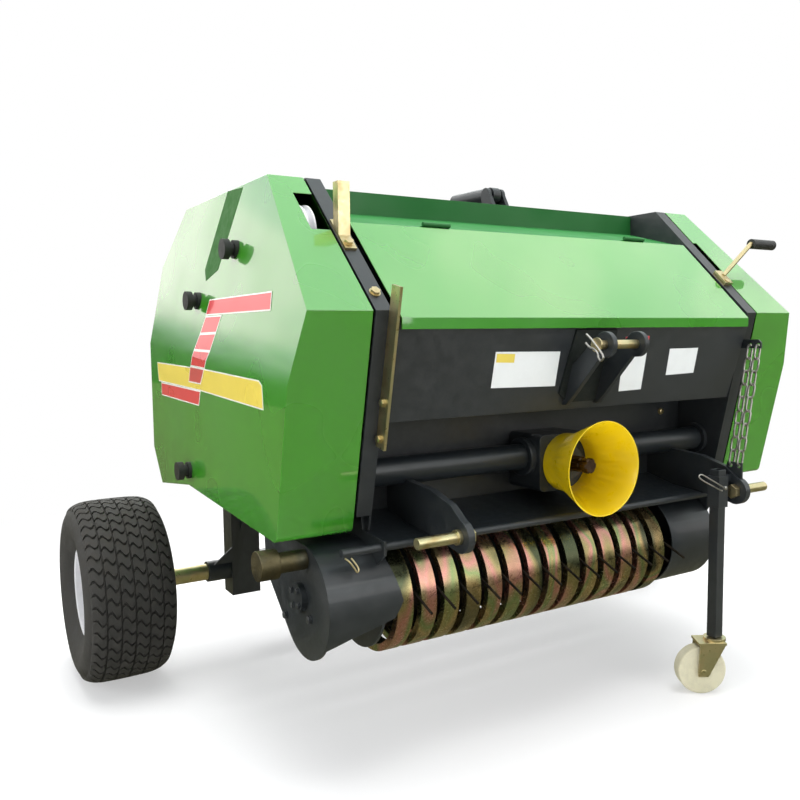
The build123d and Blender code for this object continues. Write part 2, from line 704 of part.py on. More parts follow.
def pickup_drive_guard():
    """Guard over the reel's drive, on the left: end plate, skin with a shaped front edge, and hub cap."""
    right = max(x for x, z in DRIVE_GUARD_EDGE)
    skin = drum(GUARD_R, DRIVE_GUARD_X, right)
    skin -= drum(GUARD_R - GUARD_SHEET, DRIVE_GUARD_X + GUARD_SHEET, right + 1)
    skin -= block(DRIVE_GUARD_INNER_X, right + 1, GUARD_Y, GUARD_Y + 300, GUARD_Z - 200, GUARD_Z + 200)
    beyond = [(right + 40, 468), *DRIVE_GUARD_EDGE, (-634, 200), (right + 40, 200)]
    cut = extrude(Plane.XZ * make_face(Polyline(*beyond, close=True)), amount=-600)
    skin -= Pos(0, -100, 0) * cut
    skin += x_bar(HUB_Y, HUB_Z, DRIVE_GUARD_X - HUB_LENGTH, DRIVE_GUARD_X, HUB_R)
    return skin - pickup_supports()[0]


def pickup_drive_shaft():
    """End of the shaft that drives the pickup, with its collar, on the drive guard."""
    shaft = x_bar(DRIVE_SHAFT_Y, DRIVE_SHAFT_Z, DRIVE_SHAFT_END_X, DRIVE_GUARD_X, DRIVE_SHAFT_R)
    collar_end = DRIVE_SHAFT_END_X + DRIVE_COLLAR_LENGTH
    return shaft + x_bar(DRIVE_SHAFT_Y, DRIVE_SHAFT_Z, DRIVE_SHAFT_END_X, collar_end, DRIVE_COLLAR_R)


def pickup_end_guard():
    """Curved guard round the reel's right end, on its support."""
    x0, x1 = RIGHT_GUARD_X, RIGHT_SUPPORT_X + SUPPORT_SHEET
    guard = x_bar(GUARD_Y, GUARD_Z, x0, x1, GUARD_R)
    guard -= x_bar(GUARD_Y, GUARD_Z, x0 - 1, x1 + 1, GUARD_R - GUARD_SHEET)
    guard -= block(x0 - 1, x1 + 1, GUARD_Y, GUARD_Y + 200, GUARD_Z - 70, 600)
    guard -= block(x0 - 1, x1 + 1, 0, GUARD_Y, GUARD_TOP_Z, 600)
    return guard - pickup_supports()[1]


def band_x(i):
    """Middle of band i."""
    return BAND_FIRST_X + BAND_PITCH * i


def band_face():
    """Outline of a band: straight rear end, round the reel, and a tail that runs back to the chamber."""
    edges = []
    for radius, drop in ((BAND_R, 0), (BAND_R - BAND_SHEET, BAND_SHEET)):
        edges.append(CenterArc((PICKUP_Y, PICKUP_Z), radius, 90, 270))
        edges.append(Line((PICKUP_Y + radius, PICKUP_Z), (PICKUP_Y + radius, BAND_END_Z)))
        top = PICKUP_Z + radius
        end = TAIL_END_Z - drop
        edges.append(Polyline((PICKUP_Y, top), (TAIL_RISE_Y, top), (RAIL_Y, end), (TAIL_END_Y, end)))
    inner = PICKUP_Y + BAND_R - BAND_SHEET
    edges.append(Line((inner, BAND_END_Z), (inner + BAND_SHEET, BAND_END_Z)))
    edges.append(Line((TAIL_END_Y, TAIL_END_Z - BAND_SHEET), (TAIL_END_Y, TAIL_END_Z)))
    return make_face(edges)


def band_flange():
    """Outline of a band's flange: a ring sector inside the band."""
    start, arc = BAND_FLANGE_ARC
    outer, inner = BAND_R - BAND_SHEET, BAND_R - BAND_SHEET - BAND_FLANGE
    edges = [CenterArc((PICKUP_Y, PICKUP_Z), radius, start, arc) for radius in (outer, inner)]
    for angle in (radians(start), radians(start + arc)):
        ends = [(PICKUP_Y + r * cos(angle), PICKUP_Z + r * sin(angle)) for r in (inner, outer)]
        edges.append(Line(*ends))
    return make_face(edges)


def strippers():
    """Curved bands over the reel, each with a flange turned in along both edges."""
    band = extrude(band_face(), amount=BAND_WIDTH)
    ring = band_flange()
    for start in (0, BAND_WIDTH - BAND_SHEET):
        band += extrude(Pos(0, 0, start) * ring, amount=BAND_SHEET)
    return [Plane.YZ.offset(band_x(i) - BAND_WIDTH / 2) * band for i in range(BAND_COUNT)]


def reel_point(radius, angle):
    """Point (y, z) at a radius and angle about the reel's axis."""
    return REEL_Y + radius * cos(radians(angle)), REEL_Z + radius * sin(radians(angle))


def pickup_reel():
    """Reel: tube with end shafts and rows of bent tines, one tine for each gap."""
    start = -WEB_X + REEL_END_GAP
    end = RIGHT_SUPPORT_X - REEL_END_GAP
    reel = x_bar(REEL_Y, REEL_Z, start, end, REEL_TUBE_R)
    reel += x_bar(REEL_Y, REEL_Z, DRIVE_GUARD_X + GUARD_SHEET + 2, RIGHT_SUPPORT_X + SUPPORT_SHEET, REEL_SHAFT_R)
    for row in range(TINE_ROWS):
        turn = 360 / TINE_ROWS * row
        root = reel_point(REEL_TUBE_R - 2, TINE_ELBOW_ANGLE + turn)
        elbow = reel_point(TINE_ELBOW_R, TINE_ELBOW_ANGLE + turn)
        tip = reel_point(TINE_TIP_R, TINE_TIP_ANGLE + turn)
        for i in range(BAND_COUNT):
            x = band_x(i) + BAND_PITCH / 2
            reel += bar((x, *root), (x, *elbow), TINE_R)
            reel += bar((x, *elbow), (x, *tip), TINE_R)
            reel += Pos(x, *elbow) * Sphere(TINE_R)
    return reel


def wheel_face(points):
    """Face to turn about the wheel's axle, from points (x, radius)."""
    return Plane.XZ * make_face(Polyline(*points, close=True))


def mirrored(half):
    """Points (x, radius) followed by their mirror images in reverse."""
    return half + [(-x, r) for x, r in reversed(half)]


def tyre():
    """Right tyre: a squat turf tyre, hollow to the rim."""
    w, r = TYRE_WIDTH / 2, TYRE_R
    outer = [(w - 30, RIM_R), (w - 30, RIM_R + 14), (w - 8, RIM_R + 30), (w, r - 60), (w - 8, r - 22), (w - 26, r - 4),
             (30, r)]
    inner = [(-w + 34, r - 22), (-w + 18, r - 60), (-w + 26, RIM_R + 34), (-w + 42, RIM_R + 20), (-w + 42, RIM_R)]
    section = mirrored(outer) + mirrored([(x, radius) for x, radius in reversed(inner)])
    return Pos(WHEEL_X, WHEEL_Y, TYRE_R) * revolve(wheel_face(section), Axis.X)


def rim():
    """Right rim: barrel with bead flanges, dish and hub with its bore."""
    w = TYRE_WIDTH / 2
    barrel = [(w - 30, RIM_R), (w - 30, RIM_R + 12), (w - 26, RIM_R + 12), (w - 26, RIM_R - 4)]
    section = mirrored(barrel)
    dish = [(12, RIM_R - 3), (22, WHEEL_HUB_R), (30, WHEEL_HUB_R), (30, AXLE_R + FIT), (-60, AXLE_R + FIT),
            (-60, WHEEL_HUB_R), (16, WHEEL_HUB_R), (6, RIM_R - 3)]
    outer = [(w - 26, RIM_R - 4), (w - 26, RIM_R + 12), (w - 30, RIM_R + 12), (w - 30, RIM_R)]
    section = mirrored(outer)
    body = revolve(wheel_face(section), Axis.X) + revolve(wheel_face(dish), Axis.X)
    return Pos(WHEEL_X, WHEEL_Y, TYRE_R) * body


def axle_beam():
    """Square tube between the posts."""
    half = AXLE_BEAM / 2
    end = AXLE_POST_X[0]
    return block(-end, end, WHEEL_Y - half, WHEEL_Y + half, TYRE_R - half, TYRE_R + half)


def axle_brackets():
    """Posts under the side plates: a channel open to the rear, a plate up the web, a sleeve and its gusset."""
    half = AXLE_BEAM / 2
    x0, x1 = AXLE_POST_X
    z0, z1 = AXLE_POST_Z
    wall = AXLE_POST_WALL
    post = block(x0, x1, WHEEL_Y - half, WHEEL_Y + half, z0, z1)
    post -= block(x0 + wall, x1 - wall, WHEEL_Y - half + wall, WHEEL_Y + half + 1, z0 - 1, z1 + 1)
    web = WEB_X + WALL_SHEET
    outline = [(700, 560), (770, 430), (WHEEL_Y - half + wall / 2, 330), (WHEEL_Y + half, 330), (880, 510), (880, 560)]
    post += yz_plate(outline, web, web + BRACKET_SHEET)
    post += x_bar(WHEEL_Y, TYRE_R, x1, AXLE_SLEEVE_END_X, AXLE_SLEEVE_R)
    width, height = AXLE_GUSSET
    low = TYRE_R + AXLE_SLEEVE_R - 3
    gusset = make_face(Polyline((x1 - 1, low), (x1 + width, low), (x1 - 1, low + height + 3), close=True))
    front = Plane.XZ.offset(-(WHEEL_Y - half + wall / 2))
    return on_both_sides(post + extrude(front * gusset, amount=wall / 2, both=True))


def stub_axles():
    """Bare zinc stubs that carry the wheels."""
    stub = x_bar(WHEEL_Y, TYRE_R, AXLE_SLEEVE_END_X, WHEEL_X + 40, AXLE_R)
    collar = x_bar(WHEEL_Y, TYRE_R, WHEEL_X + 31, WHEEL_X + 40, AXLE_R + 8)
    return on_both_sides(stub + collar)


def stand_sleeve():
    """Square sleeve on the right hitch plate."""
    half = LEG_SIZE / 2 + LEG_CLEARANCE
    out = half + SLEEVE_WALL
    sleeve = block(LEG_X - out, LEG_X + out, LEG_Y - out, LEG_Y + out, SLEEVE_BOTTOM_Z, SLEEVE_TOP_Z)
    sleeve -= block(LEG_X - half, LEG_X + half, LEG_Y - half, LEG_Y + half, SLEEVE_BOTTOM_Z - 1, SLEEVE_TOP_Z + 1)
    x0, x1 = LEG_X + out, HITCH_X - HITCH_SHEET / 2
    web = block(x0, x1, LEG_Y - SLEEVE_WEB / 2, LEG_Y + SLEEVE_WEB / 2, SLEEVE_TOP_Z - SLEEVE_WEB, SLEEVE_TOP_Z)
    return sleeve + web


def stand_leg():
    """Square tube leg with a plate for the castor."""
    half = LEG_SIZE / 2
    leg = block(LEG_X - half, LEG_X + half, LEG_Y - half, LEG_Y + half, LEG_BOTTOM_Z, LEG_TOP_Z)
    bore = half - LEG_WALL
    leg -= block(LEG_X - bore, LEG_X + bore, LEG_Y - bore, LEG_Y + bore, LEG_BOTTOM_Z + 8, LEG_TOP_Z + 1)
    return leg


def front_y(z):
    """Y of the case's front edge at height z, also above the nose."""
    return CASE_OUTLINE[1][0] * (NOSE_Z - z) / (NOSE_Z - CASE_BOTTOM_Z)


def corner_bar():
    """Plated flat bar on edge along the left flange's front, standing up past the nose."""
    low, high = CORNER_BAR_Z
    back = [(front_y(low), low), (front_y(high), high)]
    up = Vector(back[1][0] - back[0][0], high - low).normalized()
    ahead = (-up.Y * CORNER_BAR_DEPTH, up.X * CORNER_BAR_DEPTH)
    front = [(y + ahead[0], z + ahead[1]) for y, z in reversed(back)]
    return yz_plate(back + front, *CORNER_BAR_X)


def upright():
    """Plated upright on a pad on the left flange's slope."""
    pad = slope_pad(*PAD_Y, *UPRIGHT_X, 0, PAD_SHEET)
    x0, x1 = UPRIGHT_X
    post = block(x0, x1, UPRIGHT_Y, UPRIGHT_Y + UPRIGHT_SHEET, slope_z(UPRIGHT_Y) - 40, UPRIGHT_TOP_Z)
    post += block(x0, x0 + UPRIGHT_SHEET, UPRIGHT_Y, UPRIGHT_Y + 22, slope_z(UPRIGHT_Y) - 40, UPRIGHT_TOP_Z)
    return pad + (post - slope_pad(-200, 500, x0 - 1, x1 + 1, -300, 0))


def lever_rod():
    """Plated crank rod of the lever, on a pad on the right flange's slope."""
    y0 = LEVER_Y - LEVER_PAD_LENGTH / 2
    pad = slope_pad(y0, y0 + LEVER_PAD_LENGTH, *LEVER_PAD_X, 0, 2 * PAD_SHEET)
    foot = (LEVER_FOOT_X, LEVER_Y, slope_z(LEVER_Y) + 2 * PAD_SHEET)
    knee = (LEVER_KNEE_X, LEVER_Y, LEVER_KNEE_Z)
    rod = bar(foot, knee, LEVER_R) + Pos(*knee) * Sphere(LEVER_R)
    grip = x_bar(LEVER_Y, LEVER_KNEE_Z, LEVER_KNEE_X, LEVER_END_X, GRIP_R)
    return pad + rod - grip


def twine_pulley():
    """Grooved nylon pulley on its axle, on the left side plate."""
    x0, x1 = PULLEY_X
    middle = (x0 + x1) / 2
    pulley = x_bar(PULLEY_Y, PULLEY_Z, x0, x1, PULLEY_R)
    groove = x_bar(PULLEY_Y, PULLEY_Z, middle - 4, middle + 4, PULLEY_R + 1)
    pulley -= groove - x_bar(PULLEY_Y, PULLEY_Z, middle - 5, middle + 5, PULLEY_R - 8)
    return pulley + x_bar(PULLEY_Y, PULLEY_Z, x1, -WEB_X - WALL_SHEET, PULLEY_AXLE_R)


def ear_holes():
    """Holes (y, z) of the ear, one for each strand."""
    return [(EAR_Y, EAR_Z), (EAR_Y + STRAND_GAP_Y, EAR_Z)]


def tab_holes():
    """Holes (y, z) of the tab on the hitch plate."""
    return [(TAB_Y, TAB_Z), (TAB_Y + STRAND_GAP_Y, TAB_Z)]


def chain_ear():
    """Ear on the right flange's front that holds the chain's upper ends."""
    x0, x1 = EAR_X - CHAIN_SHEET / 2, EAR_X + CHAIN_SHEET / 2
    low, high, tip = EAR_Z - 8, EAR_Z + 14, EAR_Y - 9
    ear = yz_plate([(front_y(low), low), (front_y(high), high), (tip + 8, high), (tip, EAR_Z + 6), (tip, low)], x0, x1)
    for y, z in ear_holes():
        ear -= x_bar(y, z, x0 - 1, x1 + 1, CHAIN_HOLE_R)
    return ear


def link_ring(length, width):
    """Long ring outline of a link: straight sides and ends of four short sides."""
    radius = width / 2
    reach = length / 2 - radius
    points = []
    for side, first in ((1, 0), (-1, 180)):
        for turn in range(0, 181, 45):
            angle = radians(first + turn)
            points.append((radius * cos(angle), side * reach + radius * sin(angle)))
    return make_face(Polyline(*points, close=True))


def stay_chain():
    """Two strands of links, each link turned a quarter from the one before it."""
    ring = link_ring(LINK_LENGTH, LINK_WIDTH) - link_ring(LINK_LENGTH - 2 * LINK_WIRE, LINK_WIDTH - 2 * LINK_WIRE)
    link = extrude(ring, amount=LINK_WIRE / 2, both=True)
    links = []
    for strand in range(2):
        start = Vector(EAR_X, *ear_holes()[strand])
        run = Vector(HITCH_X, *tab_holes()[strand]) - start
        across = LINK_LENGTH - LINK_WIRE
        steps = 2 * ceil((run.length - across) / (across - LINK_WIRE - LINK_PLAY) / 2 - 0.01)
        pitch = (run.length - across) / steps
        down = run.normalized()
        side = Vector(1, 0, 0) - down * down.X
        for i in range(steps + 1):
            x_dir = side if i % 2 == 0 else down.cross(side)
            middle = start + down * (across / 2 + pitch * i)
            links.append(Plane(origin=middle, x_dir=x_dir, z_dir=x_dir.cross(down)) * link)
    return links


def castor_plane():
    """Plane on the floor under the swivel, X along the trail."""
    angle = radians(CASTOR_TRAIL_ANGLE)
    return Plane(origin=(LEG_X, LEG_Y, 0), x_dir=(cos(angle), sin(angle), 0), z_dir=(0, 0, 1))


def castor_fork():
    """Swivel head with two cheeks and the axle."""
    top = LEG_BOTTOM_Z - 1
    head = Pos(0, 0, top - 7) * Cylinder(26, 7, align=(Align.CENTER, Align.CENTER, Align.MIN))
    yoke = Pos(CASTOR_TRAIL / 2 - 4, 0, top - 10) * Box(CASTOR_TRAIL + 32, CASTOR_WIDTH + 22, 6)
    cheek_outline = [(-20, top - 8), (CASTOR_TRAIL + 8, top - 8), (CASTOR_TRAIL + 12, CASTOR_R - 12),
                     (CASTOR_TRAIL - 12, CASTOR_R - 12)]
    fork = head + yoke
    for side in (-1, 1):
        y = side * (CASTOR_WIDTH / 2 + 8)
        cheek = Plane.XZ.offset(-y) * make_face(Polyline(*cheek_outline, close=True))
        fork += extrude(cheek, amount=3, both=True)
    axle = Pos(CASTOR_TRAIL, 0, CASTOR_R) * Rot(90, 0, 0) * Cylinder(CASTOR_AXLE_R, CASTOR_WIDTH + 26)
    return castor_plane() * (fork + axle)


def castor_wheel():
    """Nylon castor wheel."""
    wheel = Cylinder(CASTOR_R, CASTOR_WIDTH) - Cylinder(CASTOR_AXLE_R + FIT, CASTOR_WIDTH + 2)
    wheel = Rot(90, 0, 0) * wheel
    return castor_plane() * (Pos(CASTOR_TRAIL, 0, CASTOR_R) * wheel)


def build():
    os.makedirs("parts", exist_ok=True)
    right, left = on_both_sides(side_plate())
    save("side_plate_right", right + chain_ear())
    save("side_plate_left", left)
    save("cover_right", windowed(cover(), RIGHT_WINDOW))
    save("cover_left", mirror(windowed(cover(), LEFT_WINDOW), about=Plane.YZ))
    save("cover_knobs", *cover_knobs())
    save("twine_box", twine_box())
    save("top_deck", top_deck())
    save("box_lid", box_lid())
    save("cross_beams", top_beam(), gear_beam())
    save("chamber_rollers", *rollers(FIXED_ROLLER_ANGLES, WEB_X))
    save("gate_rollers", *rollers(GATE_ROLLER_ANGLES, GATE_X - GATE_PLATE))
    save("gate_sides", *gate_sides())
    save("gate_beams", *gate_beams())
    save("gate_hinge_pins", *hinge_pins())
    save("cylinder_barrel", cylinder_barrel())
    save("cylinder_rod", cylinder_rod())
    save("gearbox", gearbox())
    save("pto_shaft", pto_shaft())
    save("pto_cone", pto_cone())
    save("drive_tubes", *drive_tubes())
    right, left = on_both_sides(hitch_plate())
    save("hitch_plate_right", right + chain_tab())
    save("hitch_plate_left", left)
    save("hitch_pins", *on_both_sides(hitch_pin()), mast_pin())
    save("mast", *mast())
    save("pickup_beams", throat(), pickup_rail(), rear_rail())
    save("pickup_supports", *pickup_supports())
    save("pickup_drive_guard", pickup_drive_guard())
    save("pickup_end_guard", pickup_end_guard())
    save("pickup_drive_shaft", pickup_drive_shaft())
    save("strippers", *strippers())
    save("pickup_reel", pickup_reel())
    for name, shape in (("tyre", tyre()), ("rim", rim())):
        right, left = on_both_sides(shape)
        save(name + "_right", right)
        save(name + "_left", left)
    save("axle_beam", axle_beam())
    save("axle_brackets", *axle_brackets())
    save("stub_axles", *stub_axles())
    save("stand_sleeve", stand_sleeve())
    save("stand_leg", stand_leg())
    save("castor_fork", castor_fork())
    save("castor_wheel", castor_wheel())
    save("corner_fittings", corner_bar(), upright(), lever_rod())
    save("twine_pulley", twine_pulley())
    save("stay_chain", *stay_chain())
    print("origin at y", ORIGIN_Y)


build()
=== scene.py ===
# %% [markdown]
# # A small round hay baler, dressed
# The baler hangs on a tractor's three-point hitch: two green side covers, a sloped lid, a
# dark chamber frame, a pickup with curved zinc bands over its tined reel, turf wheels and a
# castor stand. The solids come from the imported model. This lesson lights them, gives each
# one its finish, and adds what is too small or too soft in outline for the solids: tyre
# tread, bolts, splines, blank plates and the painted stripes.

import json
from math import cos, pi, radians, sin, tau

import bmesh
import bpy
import numpy as np
from mathutils import Matrix, Vector

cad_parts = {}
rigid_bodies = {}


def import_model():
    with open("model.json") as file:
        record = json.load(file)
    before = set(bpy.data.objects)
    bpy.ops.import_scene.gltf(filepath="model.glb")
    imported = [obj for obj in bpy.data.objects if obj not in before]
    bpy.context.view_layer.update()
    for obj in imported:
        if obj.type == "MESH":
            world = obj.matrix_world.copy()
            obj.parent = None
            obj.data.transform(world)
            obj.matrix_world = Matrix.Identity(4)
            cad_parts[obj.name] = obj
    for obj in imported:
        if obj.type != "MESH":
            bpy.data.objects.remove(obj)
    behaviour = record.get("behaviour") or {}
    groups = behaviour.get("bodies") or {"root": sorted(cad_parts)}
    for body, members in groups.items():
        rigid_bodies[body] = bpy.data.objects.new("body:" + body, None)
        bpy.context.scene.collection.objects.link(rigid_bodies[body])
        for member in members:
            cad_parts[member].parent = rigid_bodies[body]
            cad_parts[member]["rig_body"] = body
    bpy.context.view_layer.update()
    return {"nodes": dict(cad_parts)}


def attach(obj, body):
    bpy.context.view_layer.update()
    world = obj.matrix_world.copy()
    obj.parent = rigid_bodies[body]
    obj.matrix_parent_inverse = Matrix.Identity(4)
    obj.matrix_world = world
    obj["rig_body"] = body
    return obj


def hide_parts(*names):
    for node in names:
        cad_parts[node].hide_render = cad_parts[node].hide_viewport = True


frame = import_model()
nodes = frame["nodes"]

# %% [markdown]
# ## The view
# The photograph was taken from the left front corner, a little below eye level. A camera is
# a place, a direction and a lens. The three angles below are the yaw from +Y towards +X, the
# pitch below the horizon and the small roll of a hand-held shot, and the lens is in
# millimetres on a 36 mm sensor, so the picture needs no shift and no crop.

# %% Camera
CAMERA_PLACE = Vector((-1.2757, -1.7839, 0.876))
YAW, PITCH, ROLL = radians(30.97), radians(4.71), radians(-0.587)


def camera_turn(yaw, pitch, roll):
    """Rotation whose columns are right, up and back of a camera with this yaw, pitch and roll."""
    forward = Vector((sin(yaw) * cos(pitch), cos(yaw) * cos(pitch), -sin(pitch)))
    right = Vector((cos(yaw), -sin(yaw), 0.0))
    up = right.cross(forward)
    right, up = right * cos(roll) + up * sin(roll), up * cos(roll) - right * sin(roll)
    return Matrix((right, up, -forward)).transposed()


lens = bpy.data.cameras.new("photo_camera")
lens.lens = 36.53
lens.sensor_width = 36.0
lens.clip_end = 100.0
camera = bpy.data.objects.new("photo_camera", lens)
camera.matrix_world = Matrix.Translation(CAMERA_PLACE) @ camera_turn(YAW, PITCH, ROLL).to_4x4()
bpy.context.scene.collection.objects.link(camera)
bpy.context.scene.camera = camera
bpy.context.scene.view_settings.view_transform = "Standard"
print("camera at", tuple(camera.location))

# %% [markdown]
# ## Studio
# A pale floor and four large soft lamps. The world is pure white where the camera looks at
# it, so the machine stands on a clean page. Gloss needs something to mirror, though: the
# baler was photographed outdoors, and its paint shows a cloudy sky above a dark line of
# trees and a dull yard. So glossy rays meet a sky made of noise, and the floor's own dull
# tone, while the light that falls on the paint stays soft and even.


# %% Mesh helper
def mesh_object(name, points, faces, material=None, smooth=False):
    """Object at the origin from points in metres and faces as index rows."""
    mesh = bpy.data.meshes.new(name)
    mesh.from_pydata([tuple(p) for p in points], [], [tuple(int(i) for i in f) for f in faces])
    mesh.update()
    if smooth:
        mesh.shade_smooth()
    piece = bpy.data.objects.new(name, mesh)
    bpy.context.scene.collection.objects.link(piece)
    if material:
        mesh.materials.append(material)
    return piece


def shade_by_angle(piece, sharp=38.0):
    """Faces outward and smooth, with the edges that turn more than the angle left sharp."""
    shape = bmesh.new()
    shape.from_mesh(piece.data)
    bmesh.ops.recalc_face_normals(shape, faces=shape.faces)
    for face in shape.faces:
        face.smooth = True
    for edge in shape.edges:
        if len(edge.link_faces) == 2:
            edge.smooth = edge.calc_face_angle(0.0) < radians(sharp)
    shape.to_mesh(piece.data)
    shape.free()


print("mesh helpers ready")


# %% Node helpers
def node_adder(tree):
    """Function that adds a node to this tree, with its inputs set to a value or linked to a socket."""

    def add(kind, inputs=(), **settings):
        node = tree.nodes.new("ShaderNode" + kind)
        for key, value in settings.items():
            setattr(node, key, value)
        for key, value in dict(inputs).items():
            if isinstance(value, bpy.types.NodeSocket):
                tree.links.new(value, node.inputs[key])
            else:
                node.inputs[key].default_value = value
        return node

    return add


def node_tree(name):
    """New material with its tree, its shader and the function that adds a node."""
    material = bpy.data.materials.new(name)
    material.use_nodes = True
    tree = material.node_tree
    return material, tree, tree.nodes["Principled BSDF"], node_adder(tree)


print("node helpers ready")

# %% Floor
YARD_STRENGTH = 0.75
FADE_START, FADE_END = 0.9, 2.6  # metres from the middle


def floor_material():
    """Pale floor: seen directly it fades to white away from the middle, and gloss mirrors a dull yard."""
    material, tree, shader, add = node_tree("studio_floor")
    place = add("TexCoord").outputs["Object"]
    noise = add("TexNoise", {"Vector": place, "Scale": 3.0, "Detail": 2.0})
    tone = add("MapRange", {"Value": noise.outputs["Fac"], "To Min": 0.93, "To Max": 0.97})
    tree.links.new(tone.outputs["Result"], shader.inputs["Base Color"])
    shader.inputs["Roughness"].default_value = 0.85
    shader.inputs["Specular IOR Level"].default_value = 0.2
    white = add("Emission", {"Color": (1.0, 1.0, 1.0, 1.0), "Strength": 1.0})
    yard = add("Emission", {"Color": (0.30, 0.29, 0.17, 1.0), "Strength": YARD_STRENGTH})
    reach = add("VectorMath", {0: place}, operation="LENGTH")
    fade = add("MapRange", {"Value": reach.outputs["Value"], "From Min": FADE_START, "From Max": FADE_END,
                            "To Min": 0.45, "To Max": 1.0}, interpolation_type="SMOOTHSTEP")
    path = add("LightPath")
    seen = add("Math", {0: path.outputs["Is Camera Ray"], 1: path.outputs["Is Transmission Ray"]},
               operation="MAXIMUM")
    share = add("Math", {0: fade.outputs["Result"], 1: seen.outputs[0]}, operation="MULTIPLY")
    mixed = add("MixShader", {0: share.outputs[0], 1: shader.outputs[0], 2: white.outputs[0]})
    mirrored = add("MixShader", {0: path.outputs["Is Glossy Ray"], 1: mixed.outputs[0], 2: yard.outputs[0]})
    tree.links.new(mirrored.outputs[0], tree.nodes["Material Output"].inputs["Surface"])
    return material


floor = mesh_object("floor", [(-40, -40, 0), (40, -40, 0), (40, 40, 0), (-40, 40, 0)], [(0, 1, 2, 3)],
                    floor_material())
print("floor", floor.name)


# %% Lamps
def lamp(name, place, target, size, power):
    """Square area lamp that looks at a target."""
    light = bpy.data.lights.new(name, "AREA")
    light.size = size
    light.energy = power
    holder = bpy.data.objects.new(name, light)
    holder.location = place
    holder.rotation_euler = (Vector(target) - Vector(place)).to_track_quat("-Z", "Y").to_euler()
    bpy.context.scene.collection.objects.link(holder)
    return holder


MIDDLE = (0.0, 0.0, 0.6)
overhead = lamp("overhead", (0.2, 0.2, 4.6), MIDDLE, 4.2, 450)
overhead.visible_glossy = False
lamp("left_wall", (-5.2, 0.6, 2.2), MIDDLE, 3.4, 100)
lamp("front_fill", (1.2, -5.6, 2.4), MIDDLE, 3.0, 60)
lamp("rim", (1.2, 4.8, 2.6), MIDDLE, 3.0, 70)

# %% World
SKY_STRENGTH = 1.75
TREE_LINE = 0.065
CLOUD_START, CLOUD_FULL = 0.42, 0.60
world = bpy.data.worlds.new("studio")
bpy.context.scene.world = world
world.use_nodes = True
sky = world.node_tree
sky.nodes.clear()
add_sky = node_adder(sky)

way = add_sky("TexCoord").outputs["Generated"]
height = add_sky("SeparateXYZ", {0: way}).outputs["Z"]
ragged = add_sky("TexNoise", {"Vector": way, "Scale": 3.2, "Detail": 5.0, "Roughness": 0.6}).outputs["Fac"]
edge = add_sky("Math", {0: ragged, 1: 0.34, 2: height}, operation="MULTIPLY_ADD")
open_sky = add_sky("MapRange", {"Value": edge.outputs[0], "From Min": TREE_LINE + 0.15,
                                "From Max": TREE_LINE + 0.27}, interpolation_type="SMOOTHSTEP")
stretched = add_sky("Mapping", {"Vector": way, "Scale": (1.0, 1.0, 2.6)})
cloud = add_sky("TexNoise", {"Vector": stretched.outputs[0], "Scale": 1.9, "Detail": 4.0}).outputs["Fac"]
cloudy = add_sky("MapRange", {"Value": cloud, "From Min": CLOUD_START, "From Max": CLOUD_FULL},
                 interpolation_type="SMOOTHSTEP")
air = add_sky("Mix", {"Factor": cloudy.outputs[0], "A": (0.58, 0.67, 0.66, 1.0),
                      "B": (1.06, 1.0, 0.97, 1.0)}, data_type="RGBA")
outdoors = add_sky("Mix", {"Factor": open_sky.outputs[0], "A": (0.012, 0.024, 0.010, 1.0),
                           "B": air.outputs["Result"]}, data_type="RGBA")
mirrored = add_sky("Background", {"Color": outdoors.outputs["Result"], "Strength": SKY_STRENGTH})
dim = add_sky("Background", {"Color": (0.92, 0.96, 1.0, 1.0), "Strength": 0.46})
white = add_sky("Background", {"Color": (1.0, 1.0, 1.0, 1.0), "Strength": 1.0})
path = add_sky("LightPath")
seen = add_sky("Math", {0: path.outputs["Is Camera Ray"], 1: path.outputs["Is Transmission Ray"]},
               operation="MAXIMUM")
lit = add_sky("MixShader", {0: path.outputs["Is Glossy Ray"], 1: dim.outputs[0], 2: mirrored.outputs[0]})
shown = add_sky("MixShader", {0: seen.outputs[0], 1: lit.outputs[0], 2: white.outputs[0]})
add_sky("OutputWorld", {"Surface": shown.outputs[0]})
print("world nodes", len(sky.nodes))

# %% [markdown]
# ## Paint
# The covers and the lid are sprayed in a glossy bright green, the frame in a satin dark
# blue-grey. Real paint is never one colour: it clouds slightly from spray to spray, holds
# dust in low patches, has a fine orange-peel surface under its gloss, and rubs through on
# edges. Object coordinates keep each pattern still when a piece moves with its body.


